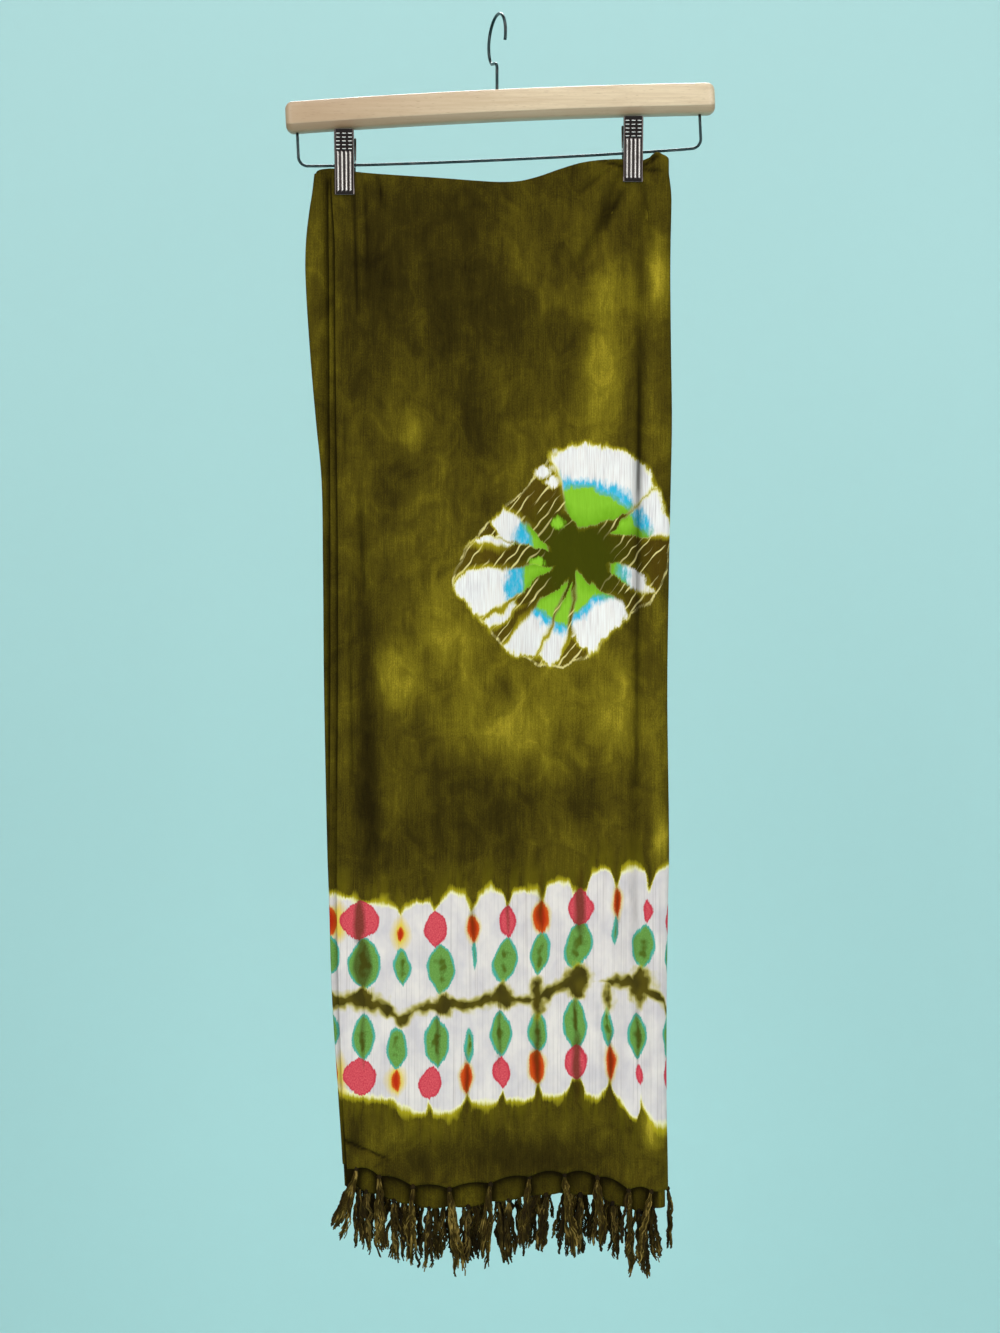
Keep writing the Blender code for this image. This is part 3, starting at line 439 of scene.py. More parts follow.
def hem(stretch, x, side):
    """Height of the hem. The under end is lower, and its knots lie between the others."""
    plain = smooth_between(front_knots(), x)
    arch = SCALLOP * hem_arch(front_knots() if stretch == "front" else back_knots(), x)
    if side > 0:
        return plain + arch * HEM_ARCH / SCALLOP
    return plain + SCALLOP - arch - BOTTOM_SHIFT


def near_line(line, x, z):
    """Distance from a crease's line, and the share of the way along it of the nearest point."""
    along_x, along_z = line.x1 - line.x0, line.z1 - line.z0
    away_x, away_z = x - line.x0, z - line.z0
    squared = along_x * along_x + along_z * along_z
    share = min(1.0, max(0.0, (away_x * along_x + away_z * along_z) / squared))
    return math.hypot(away_x - along_x * share, away_z - along_z * share), share


def falloff(distance, width):
    """Soft fall from 1 on a line to nothing beside it."""
    return math.exp(-((distance / width) ** 2))


def stand_off(creases, x, z):
    """How far the outer layer stands proud: its puff, less the troughs, plus the ridges."""
    drop = TOP_DATUM - z
    proud = PUFF * ease(0.028, 0.100, drop) * (1 - 0.6 * ease(0.78, 0.84, drop))
    for row in creases:
        distance, share = near_line(row, x, z)
        if distance < 3 * row.width:
            fade = math.sin(math.pi * (0.08 + 0.84 * share)) ** 0.5
            proud -= row.depth * fade * falloff(distance, row.width)
    near_edge = ease(0.0, 0.016, HALF_WIDTH - abs(x - MIDDLE_X))
    proud *= ease(0.026, 0.050, drop) * near_edge
    return max(-0.0004, proud)


def fine_relief(creases, x, z):
    """Small folds of the thin cloth, each fading towards both ends of its line."""
    relief = 0.0
    for row in creases:
        distance, share = near_line(row, x, z)
        if distance < 3 * row.width:
            fade = math.sin(math.pi * (0.10 + 0.80 * share))
            relief += row.depth * fade * falloff(distance, row.width)
    return -relief


def seam_shade(column, side, x, z):
    """Painted shade for the cloth's colour, from 0 to 1: in the front creases, beside the edges of the
    layers in front, and under the hem and its knots.
    """
    row = outline(z)
    drop = TOP_DATUM - z
    away = ease(0.001, 0.008, drop)
    hem_gap = hem("front", x, 1.0) - z if drop > 0.70 else -1.0
    if column[0] == "third" and side > 0:
        gap = row.under_edge - x
        return min(1.0, away * falloff(gap, UNDER_EDGE_SHADE))
    if column[0] != "front":
        return 0.0
    if side < 0:
        gap = row.front_edge - x
        shade = away * falloff(gap, FRONT_EDGE_SHADE)
        # Painted shadow under the front hem, darkest just below it and beside the knots.
        if hem_gap > -0.004:
            near = min(abs(x - place) for place, _ in front_knots())
            shade += 0.95 * falloff(max(0.0, hem_gap), POCKET_SHADE) + 0.30
            shade += 0.85 * falloff(near, POCKET_SHADE)
        return min(1.0, shade)
    # Painted shade: a faint line along the front hem, and the front troughs.
    shade = 0.12 * falloff(hem_gap, HEM_SHADE)
    for line in MAIN_FRONT_CREASES + FINE_FRONT_CREASES:
        distance, share = near_line(line, x, z)
        if line.depth > 0 and distance < 3 * line.width:
            fade = math.sin(math.pi * (0.08 + 0.84 * share)) ** 0.5
            strength = line.depth / line.width * 1.35
            shade += strength * fade * falloff(distance / line.width, 0.8)
    return min(1.0, shade)


def sway(x, z, ripple):
    """Slow wave and small ripples that all the layers share."""
    drop = TOP_DATUM - z
    wave = SWAY * ease(0.035, 0.260, drop) * math.cos(2 * math.pi * (x - 0.02) / SWAY_LENGTH)
    broad = noise.noise(Vector((x * 16.0, z * 4.5, 3.0)))
    close = noise.noise(Vector((x * 52.0, z * 11.0, 9.0)))
    return wave + ripple * ease(0.030, 0.120, drop) * (broad + 0.42 * close)


def fold_lines(z):
    """X of the lines round which the right and the left fold turn."""
    row = outline(z)
    turn_x = row.right_fold - 3.5 * row.pitch - SOLID_WALL / 2
    left_x = row.back_fold + 1.5 * row.pitch + SOLID_WALL / 2
    return turn_x, left_x


# A column of the cloth is (stretch, place): a share of the way along a straight stretch, or an angle
# round a fold. `side` is +0.5 on the layer that faces out and -0.5 on the one folded under it.


def spot(column, side, z):
    """Place of the cloth's middle surface, as (x, y), and which way is out, before its relief."""
    stretch, place = column
    row = outline(z)
    pitch = row.pitch
    turn_x, left_x = fold_lines(z)
    out = Vector((0.0, -1.0))
    if stretch == "front":
        edge = row.under_edge + (row.front_edge - row.under_edge) * (side + 0.5)
        x, y = edge + (turn_x - edge) * place, (-3.0 - side) * pitch
    elif stretch == "right_fold":
        reach = (3.0 + side) * pitch
        out = Vector((math.sin(place), -math.cos(place)))
        x, y = turn_x + reach * out.x, reach * out.y
    elif stretch == "back":
        x, y = turn_x + (left_x - turn_x) * place, (3.0 + side) * pitch
        out = Vector((0.0, 1.0))
    elif stretch == "left_fold":
        reach = (1.0 + side) * pitch
        out = Vector((-math.sin(place), math.cos(place)))
        x, y = left_x + reach * out.x, 2.0 * pitch + reach * out.y
    elif stretch == "third":
        start = left_x if place < 0 else SEAM_X + SEAM
        goal = SEAM_X if place < 0 else turn_x
        x, y = start + (goal - start) * abs(place), (1.0 - side) * pitch
    elif stretch == "inner_fold":
        reach = (1.0 - side) * pitch
        out = Vector((-math.sin(place), -math.cos(place)))
        x, y = turn_x - reach * out.x, -reach * out.y
    else:
        edge = row.under_edge + INNER_TUCK
        x, y = turn_x + (edge - turn_x) * place, (-1.0 + side) * pitch
        out = Vector((0.0, 1.0))
    return Vector((x, y)), out


def relieved(column, side, x, y, z, ripple):
    """The finished point, with the folds of the outer layer and the waves of them all."""
    if side > 0 and column[0] == "front":
        y -= stand_off(MAIN_FRONT_CREASES, x, z) * side * 2
        y -= fine_relief(FINE_FRONT_CREASES, x, z) * side * 2
        low = smooth_between(front_knots(), x)
        pocket = ease(0.026, 0.0, z - low) * hem_arch(front_knots(), x)
        y -= POCKET * pocket * side * 2
    if side > 0 and column[0] == "back":
        y += stand_off(MAIN_BACK_CREASES, x, z) * side * 2
        y += fine_relief(FINE_BACK_CREASES, x, z) * side * 2
    return Vector((x, y + sway(x, z, ripple), z))


def top_of(column, x):
    """Height of the top edge. Round a fold it stays more level."""
    turn_x, left_x = fold_lines(TOP_DATUM)
    if column[0] == "left_fold":
        return top_edge(left_x)
    if column[0] == "inner_fold":
        return top_edge(turn_x)
    if column[0] == "right_fold":
        return top_edge(turn_x + (x - turn_x) * 0.4)
    if column[0] == "third" and x < SEAM_X:
        return top_edge(x) + 0.0022 * ease(-0.154, -0.148, x)
    return top_edge(x)


def cloth_row(column, side, share, ripple):
    """Point of the cloth a share of the way down from the top edge."""
    place, _ = spot(column, side, -0.5)
    for _ in range(3):
        edge = top_of(column, place.x)
        top = edge - outline(edge).pitch / 2
        z = top + (hem(column[0], place.x, side) - top) * share
        place, _ = spot(column, side, z)
    return relieved(column, side, place.x, place.y, z, ripple)


def turn_row(column, angle, ripple):
    """Point on the half round of the top edge: angle 0 is the outer layer, pi the one under it."""
    side = 0.5 * math.cos(angle)
    place, _ = spot(column, side, top_edge(0.0))
    for _ in range(3):
        edge = top_of(column, place.x)
        z = edge - outline(edge).pitch / 2 * (1 - math.sin(angle))
        place, _ = spot(column, side, z)
    return relieved(column, side, place.x, place.y, z, ripple)


def print_place(column, side, point):
    """Where the cloth's pattern is read: it mirrors itself at each side fold."""
    stretch, place = column
    turn_x, left_x = fold_lines(point.z)
    pitch = outline(point.z).pitch
    bend = 0.8 * min(place, math.pi - place)
    if stretch == "right_fold":
        return turn_x + (3.0 + side) * pitch * bend, point.z
    if stretch == "left_fold":
        return left_x - (1.0 + side) * pitch * bend, point.z
    if stretch == "inner_fold":
        return turn_x + (1.0 - side) * pitch * bend, point.z
    return point.x, point.z


def share_of(x, stretch):
    """Share of the way along a straight stretch at which its hem lies at x."""
    row = outline(hem(stretch, x, 0.5))
    turn_x, left_x = fold_lines(hem(stretch, x, 0.5))
    if stretch == "front":
        return (x - row.front_edge) / (turn_x - row.front_edge)
    return (turn_x - x) / (turn_x - left_x)


def spaced(count, dense_ends=0.0):
    """Shares from 0 to 1, which may crowd towards both ends."""
    shares = []
    for k in range(count):
        t = k / (count - 1)
        shares.append(t - dense_ends * math.sin(2 * math.pi * t) / (2 * math.pi))
    return shares


def outer_columns():
    """Columns of the outer wrap: front, right fold, back, left fold and the start of the third."""
    columns = [("front", place) for place in spaced(112, 0.66)]
    columns += [("right_fold", math.pi * k / 13) for k in range(1, 13)]
    columns += [("back", place) for place in spaced(52, 0.3)]
    columns += [("left_fold", math.pi * k / 8) for k in range(1, 8)]
    columns += [("third", -1e-9 - k / 16) for k in range(16)] + [("third", -1.0)]
    return columns


def inner_columns():
    """Columns of the inner wrap, which hardly shows."""
    columns = [("third", place) for place in spaced(30)]
    columns += [("inner_fold", math.pi * k / 8) for k in range(1, 8)]
    columns += [("fourth", place) for place in spaced(30)]
    return columns


def cloth_rows(count, hem_rows=0):
    """Heights of the rows, as shares of the way down, closer together near both ends and by the hem."""
    shares = [0.003 + 0.997 * share for share in spaced(count, 0.60)]
    close = [1.0 - HEM_STEP * k for k in range(hem_rows, 0, -1)]
    if close:
        shares = [share for share in shares if share < close[0] - HEM_STEP] + close + [1.0]
    return shares


def plain_object(name, mesh):
    """An object at the origin that holds this mesh."""
    made = bpy.data.objects.new(name, mesh)
    bpy.context.scene.collection.objects.link(made)
    return made


def object_of(name, work, smooth=True):
    """An object from a bmesh, whose faces are shaded smooth or flat."""
    mesh = bpy.data.meshes.new(name)
    for face in work.faces:
        face.smooth = smooth
    work.to_mesh(mesh)
    work.free()
    return plain_object(name, mesh)


def baked(made, material=None):
    """The object again, with its modifiers' result as its plain mesh."""
    graph = bpy.context.evaluated_depsgraph_get()
    mesh = bpy.data.meshes.new_from_object(made.evaluated_get(graph), depsgraph=graph)
    made.modifiers.clear()
    made.data = mesh
    if material is not None:
        mesh.materials.clear()
        mesh.materials.append(material)
        mesh.polygons.foreach_set("material_index", [0] * len(mesh.polygons))
    return made


def cloth_sheet(name, columns, outer_count, under_count, settings, material):
    """One wrap of cloth, up its outer layer, over the top edge and down the layer under it."""
    work = bmesh.new()
    layer = work.loops.layers.uv.new("cloth")
    # Painted shade at each point, by which the cloth's material darkens its colour.
    depth = work.verts.layers.float.new("groove")
    ripple = settings.ripple
    grid = []
    for column in columns:
        line = []
        for share in reversed(cloth_rows(outer_count)):
            line.append((0.5, cloth_row(column, 0.5, share, ripple)))
        for k in range(1, TURN_STEPS):
            angle = math.pi * k / TURN_STEPS
            line.append((0.5 * math.cos(angle), turn_row(column, angle, ripple)))
        for share in cloth_rows(under_count, HEM_ROWS):
            line.append((-0.5, cloth_row(column, -0.5, share, ripple)))
        verts = [work.verts.new(point) for _, point in line]
        prints = [print_place(column, side, point) for side, point in line]
        for vert, (side, point) in zip(verts, line):
            vert[depth] = seam_shade(column, side, point.x, point.z)
        grid.append((verts, prints))
    for (left, left_prints), (right, right_prints) in zip(grid, grid[1:]):
        for k in range(len(left) - 1):
            face = work.faces.new((left[k], right[k], right[k + 1], left[k + 1]))
            places = (left_prints[k], right_prints[k], right_prints[k + 1], left_prints[k + 1])
            for loop, place in zip(face.loops, places):
                loop[layer].uv = place
    made = object_of(name, work)
    made.data.materials.append(material)
    wall = made.modifiers.new("thickness", "SOLIDIFY")
    wall.thickness = settings.thickness
    wall.offset = 0.0
    wall.use_even_offset = True
    wall.use_rim = True
    return baked(made)


class Board:
    """Short ways to lay nodes in a tree. A number, a tuple or a socket may feed an input."""

    def __init__(self, tree):
        self.tree = tree

    def feed(self, target, value):
        """Links an input to a socket or sets its value."""
        if isinstance(value, bpy.types.NodeSocket):
            self.tree.links.new(value, target)
        elif value is not None:
            target.default_value = value

    def node(self, kind, *values, **settings):
        """A node with these settings, whose first inputs take the values in order."""
        made = self.tree.nodes.new(kind)
        for name, value in settings.items():
            setattr(made, name, value)
        open_inputs = [socket for socket in made.inputs if socket.enabled]
        for target, value in zip(open_inputs, values):
            self.feed(target, value)
        return made

    def feed_all(self, node, values):
        """Feeds a node's inputs by their names."""
        for name, value in values.items():
            self.feed(node.inputs[name], value)

    def wired(self, kind, values, **settings):
        """A node with these settings, whose named inputs take the values."""
        made = self.node(kind, **settings)
        self.feed_all(made, values)
        return made

    def math(self, operation, *values):
        """One sum, product or other step on numbers."""
        made = self.node("ShaderNodeMath", operation=operation)
        for target, value in zip(made.inputs, values):
            self.feed(target, value)
        return made.outputs[0]

    times = functools.partialmethod(math, "MULTIPLY")
    plus = functools.partialmethod(math, "ADD")
    minus = functools.partialmethod(math, "SUBTRACT")
    fit = functools.partialmethod(math, "MULTIPLY_ADD")
    least = functools.partialmethod(math, "MINIMUM")
    size_of = functools.partialmethod(math, "ABSOLUTE")

    def vector(self, operation, *values):
        """One step on vectors, which gives a number for a length or a product."""
        made = self.node("ShaderNodeVectorMath", operation=operation)
        for target, value in zip(made.inputs, values):
            self.feed(target, value)
        single = operation in {"LENGTH", "DOT_PRODUCT", "DISTANCE"}
        return made.outputs["Value" if single else "Vector"]

    def scaled(self, vector, scale):
        """A vector times a number."""
        given = {"Vector": vector, "Scale": scale}
        return self.wired("ShaderNodeVectorMath", given, operation="SCALE").outputs["Vector"]

    def joined(self, x, y, z=0.0):
        """A vector of three numbers."""
        return self.node("ShaderNodeCombineXYZ", x, y, z).outputs[0]

    def remap(self, value, low, high, new_low=0.0, new_high=1.0, smooth=False):
        """A value moved from one range to another, and held at its ends."""
        made = self.node("ShaderNodeMapRange")
        made.interpolation_type = "SMOOTHSTEP" if smooth else "LINEAR"
        for target, given in zip(made.inputs, (value, low, high, new_low, new_high)):
            self.feed(target, given)
        return made.outputs[0]

    def mix(self, share, first, second):
        """A share of the second colour over the first."""
        made = self.node("ShaderNodeMix", data_type="RGBA")
        made.clamp_factor = True
        self.feed(made.inputs["Factor"], share)
        colours = [socket for socket in made.inputs if socket.type == "RGBA"]
        self.feed(colours[0], first)
        self.feed(colours[1], second)
        return next(socket for socket in made.outputs if socket.type == "RGBA")

    def ramp(self, value, stops):
        """Colour ramp whose stops are (place, colour), with places from 0 to 1."""
        made = self.node("ShaderNodeValToRGB", value)
        band = made.color_ramp
        while len(band.elements) < len(stops):
            band.elements.new(0.5)
        for element, (place, colour) in zip(band.elements, stops):
            element.position = place
            element.color = colour
        return made.outputs[0]

    def curve(self, value, points, low, high):
        """Value read off a polyline through (place, value) points."""
        heights = [point[1] for point in points]
        base, top = min(heights), max(heights)
        span = max(top - base, 1e-6)
        made = self.node("ShaderNodeFloatCurve")
        self.feed(made.inputs["Factor"], 1.0)
        self.feed(made.inputs["Value"], self.remap(value, low, high))
        line = made.mapping.curves[0]
        spots = [((at - low) / (high - low), (height - base) / span) for at, height in points]
        spots = [spot for spot in spots if 0.0 <= spot[0] <= 1.0]
        while len(line.points) < len(spots):
            line.points.new(0.5, 0.5)
        for point, (at, height) in zip(line.points, spots):
            point.location = (at, height)
            point.handle_type = "VECTOR"
        made.mapping.update()
        return self.math("MULTIPLY_ADD", made.outputs[0], span, base)

    def noise(self, vector, scale, detail=2.0, roughness=0.5, lean=0.0):
        """Cloudy values round 0.5. Lean bends them."""
        given = {"Vector": vector, "Scale": scale, "Detail": detail, "Roughness": roughness}
        return self.wired("ShaderNodeTexNoise", {**given, "Distortion": lean}).outputs[0]

    def streaks(self, place, scale, detail=2.0, roughness=0.5, lean=0.0):
        """Cloudy values, drawn out by a scale for each direction."""
        return self.noise(self.vector("MULTIPLY", place, scale), 1.0, detail, roughness, lean)

    def attribute(self, name):
        """A value that the mesh carries at its points."""
        return self.node("ShaderNodeAttribute", attribute_name=name).outputs["Fac"]


def blank_material(name):
    """A new material, its board and its shader."""
    made = bpy.data.materials.new(name)
    made.use_nodes = True
    return made, Board(made.node_tree), made.node_tree.nodes["Principled BSDF"]


def bumped(board, shader, height, depth, strength=1.0):
    """Feeds a height, of this depth in metres, to the shader's normal."""
    bump = board.wired("ShaderNodeBump", {
        "Strength": strength, "Distance": depth, "Height": height,
    })
    board.feed(shader.inputs["Normal"], bump.outputs["Normal"])


def steel_material(name, tint, roughness, settings):
    """Bright plated steel, with a few faint scuffs and a little dust, and painted dark reflection on the
    level faces that carry a flat value.
    """
    made, board, shader = blank_material(name)
    place = board.node("ShaderNodeTexCoord").outputs["Object"]
    smear = board.noise(place, 120.0, 3.0, 0.6)
    scuffs = board.streaks(place, (700.0, 700.0, 60.0), 2.0, 0.6)
    dull = board.remap(scuffs, 0.62, 0.80)
    shade = board.mix(board.remap(smear, 0.48, 0.80, 0.0, 0.6), tuple(tint), settings.steel_shadow)
    # Painted reflection: the level faces marked by their flat value are darkened as if they mirrored a
    # dark room, and the rib crests stay bright.
    flat = board.attribute("flat")
    shade = board.mix(board.times(flat, 0.92), shade, settings.painted_dark_reflection)
    board.feed_all(shader, {"Base Color": shade, "Metallic": 1.0})
    rough = board.fit(dull, 0.10, roughness)
    board.feed(shader.inputs["Roughness"], board.fit(smear, 0.06, rough))
    bumped(board, shader, scuffs, 0.000006)
    return made


def wood_material(settings):
    """Pale beech: growth lines along the bar, short dark flecks, a thin worn varnish, and painted shade
    on the chamfer under the bar.
    """
    made, board, shader = blank_material("pale beech")
    place = board.node("ShaderNodeTexCoord").outputs["Object"]
    along = board.node("ShaderNodeSeparateXYZ", place)
    wander = board.streaks(place, (9.0, 60.0, 60.0), 3.0, 0.55)
    stretched = board.vector("MULTIPLY", place, (14.0, 420.0, 420.0))
    bent = board.vector("ADD", stretched, board.joined(0.0, board.times(wander, 3.0)))
    grain = board.noise(bent, 1.0, 5.0, 0.62, 0.3)
    pores = board.streaks(place, (160.0, 2600.0, 2600.0), 1.0, 0.5)
    flecks = board.remap(pores, 0.66, 0.74)
    # The wood is lighter towards the bar's right end.
    across = board.remap(along.outputs["X"], -0.15, 0.05)
    base = board.mix(across, settings.bar_left, settings.bar_right)
    lined = board.mix(board.remap(grain, 0.42, 0.68, 0.0, 0.40), base, settings.bar_grain)
    broad = board.mix(board.remap(wander, 0.35, 0.70, 0.0, 0.30), lined, settings.bar_grain)
    spotted = board.mix(board.times(flecks, 0.45), broad, settings.bar_fleck)
    # Painted shade on the chamfer and underside of the bar.
    shade = board.attribute("shade")
    finished = board.mix(board.times(shade, 0.62), spotted, settings.painted_bar_shade)
    board.feed_all(shader, {
        "Base Color": finished, "Roughness": board.remap(grain, 0.3, 0.7, 0.36, 0.50),
        "Coat Weight": 0.25, "Coat Roughness": 0.28,
    })
    height = board.fit(flecks, -0.7, board.times(grain, 0.5))
    bumped(board, shader, height, 0.00012)
    return made


def yarn_material(name, settings, painted_lightness):
    """Crinkled fringe yarn: olive and brown threads, each its own shade, with fine twist lines, darkened
    with painted shade when its painted lightness is below 1.
    """
    made, board, shader = blank_material(name)
    place = board.node("ShaderNodeTexCoord").outputs["Object"]
    thread = board.attribute("shade")
    patchy = board.noise(place, 85.0, 2.0, 0.5)
    twist = board.streaks(place, (900.0, 900.0, 420.0), 2.0, 0.6)
    mixed = board.fit(patchy, 0.7, board.times(thread, 0.55))
    # The lightest threads are partly worn threads and partly painted highlight. The darkest stand for
    # shaded threads.
    colour = board.ramp(
        mixed,
        [
            (0.20, settings.yarn_dark),
            (0.50, settings.yarn_brown),
            (0.72, settings.yarn_olive),
            (0.88, settings.yarn_light_and_highlight),
        ],
    )
    fuzzed = board.mix(board.remap(twist, 0.35, 0.70, 0.0, 0.45), colour, settings.yarn_dark)
    # Painted shade: a painted lightness below 1 mixes the whole yarn towards the shaded threads.
    lit = board.mix(painted_lightness, settings.yarn_dark, fuzzed)
    board.feed_all(shader, {"Base Color": lit, "Roughness": 0.86, "Specular IOR Level": 0.12})
    bumped(board, shader, twist, 0.00025)
    return made


Knot = namedtuple("Knot", "point along out lean length threads size")


def hem_knots(side, settings, chance):
    """Every knot of one end of the cloth: on the front, round the folds, and on the hidden layers."""
    outer = side > 0
    full = settings.threads
    front = [(row.x, row.lean, row.length) for row in FRONT_TASSELS]
    back = [x for x, _ in reversed(back_knots())]
    if not outer:
        front = [
            ((a[0] + b[0]) / 2, chance.uniform(-0.006, 0.006), chance.uniform(0.047, 0.060))
            for a, b in zip(front, front[1:])
        ]
        back = [(a + b) / 2 for a, b in zip(back, back[1:])]
    rows = [(("front", share_of(x, "front")), lean, length, full) for x, lean, length in front]
    if outer:
        rows.append((("right_fold", 1.3), 0.004, 0.056, full - 7))
    else:
        rows.append((("front", 0.985), 0.003, 0.050, full - 7))
        rows.append((("front", 0.012), -0.012, 0.046, full - 14))
    for x in back:
        length = TASSEL_LENGTH * chance.uniform(0.88, 1.08) - (0 if outer else 0.012)
        lean = chance.uniform(-0.007, 0.007)
        rows.append((("back", share_of(x, "back")), lean, length, full - 7))
    for stretch in ("third", "fourth"):
        for k in range(INNER_KNOTS):
            place = (k + (0.40 if outer else 0.62)) / INNER_KNOTS
            length = TASSEL_LENGTH * chance.uniform(0.72, 0.92)
            rows.append(((stretch, place), chance.uniform(-0.006, 0.006), length, full - 21))
    knots = []
    for column, lean, length, threads in rows:
        point = cloth_row(column, side, 1.0, 0.0)
        flat, out = spot(column, side, point.z)
        ahead, _ = spot((column[0], column[1] + 0.01), side, point.z)
        along = (ahead - flat).normalized()
        along = along if along.x >= 0 else -along
        out = out if outer else -out
        size = 1.0 if column[0] in {"front", "right_fold", "back"} else 0.7
        spread_out = out if column[0] in {"front", "right_fold", "back"} else out * 0.2
        knots.append(Knot(point, along, spread_out, lean, length, threads, size))
    return knots


def knot_mesh():
    """One overhand knot of yarn, a few millimetres across, as a ridged bead with a short neck."""
    work = bmesh.new()
    rings, around = 9, 12
    grid = []
    for j in range(rings + 1):
        height = math.pi * j / rings
        ring = []
        for i in range(around):
            angle = 2 * math.pi * i / around
            ridge = 1.0 + 0.17 * math.sin(3 * angle + 5.0 * height)
            radius = (0.24 + 0.76 * math.sin(height) ** 0.8) * ridge
            radius *= 0.42 if j in (0, rings) else 1.0
            point = (radius * math.cos(angle), 0.8 * radius * math.sin(angle), math.cos(height) * 1.15)
            ring.append(work.verts.new(point))
        grid.append(ring)
    for upper, lower in zip(grid, grid[1:]):
        for i in range(around):
            n = (i + 1) % around
            work.faces.new((upper[i], lower[i], lower[n], upper[n]))
    work.faces.new(grid[0])
    work.faces.new(reversed(grid[-1]))
    bmesh.ops.recalc_face_normals(work, faces=work.faces)
    return object_of("knot pattern", work)


def tree_with(name, inputs):
    """A geometry tree with these (name, type, default) inputs, its board, and its two end nodes."""
    tree = bpy.data.node_groups.new(name, "GeometryNodeTree")
    tree.interface.new_socket("Geometry", in_out="OUTPUT", socket_type="NodeSocketGeometry")
    tree.interface.new_socket("Geometry", in_out="INPUT", socket_type="NodeSocketGeometry")
    for label, kind, default in inputs:
        made = tree.interface.new_socket(label, in_out="INPUT", socket_type="NodeSocket" + kind)
        if default is not None:
            made.default_value = default
    start = tree.nodes.new("NodeGroupInput")
    end = tree.nodes.new("NodeGroupOutput")
    return tree, Board(tree), start, end


def run_tree(made, tree, values):
    """Runs a geometry tree on an object, with its inputs set by their identifiers."""
    modifier = made.modifiers.new(tree.name, "NODES")
    modifier.node_group = tree
    for item in tree.interface.items_tree:
        if item.in_out == "INPUT" and item.name in values:
            modifier[item.identifier] = values[item.name]
    baked(made)


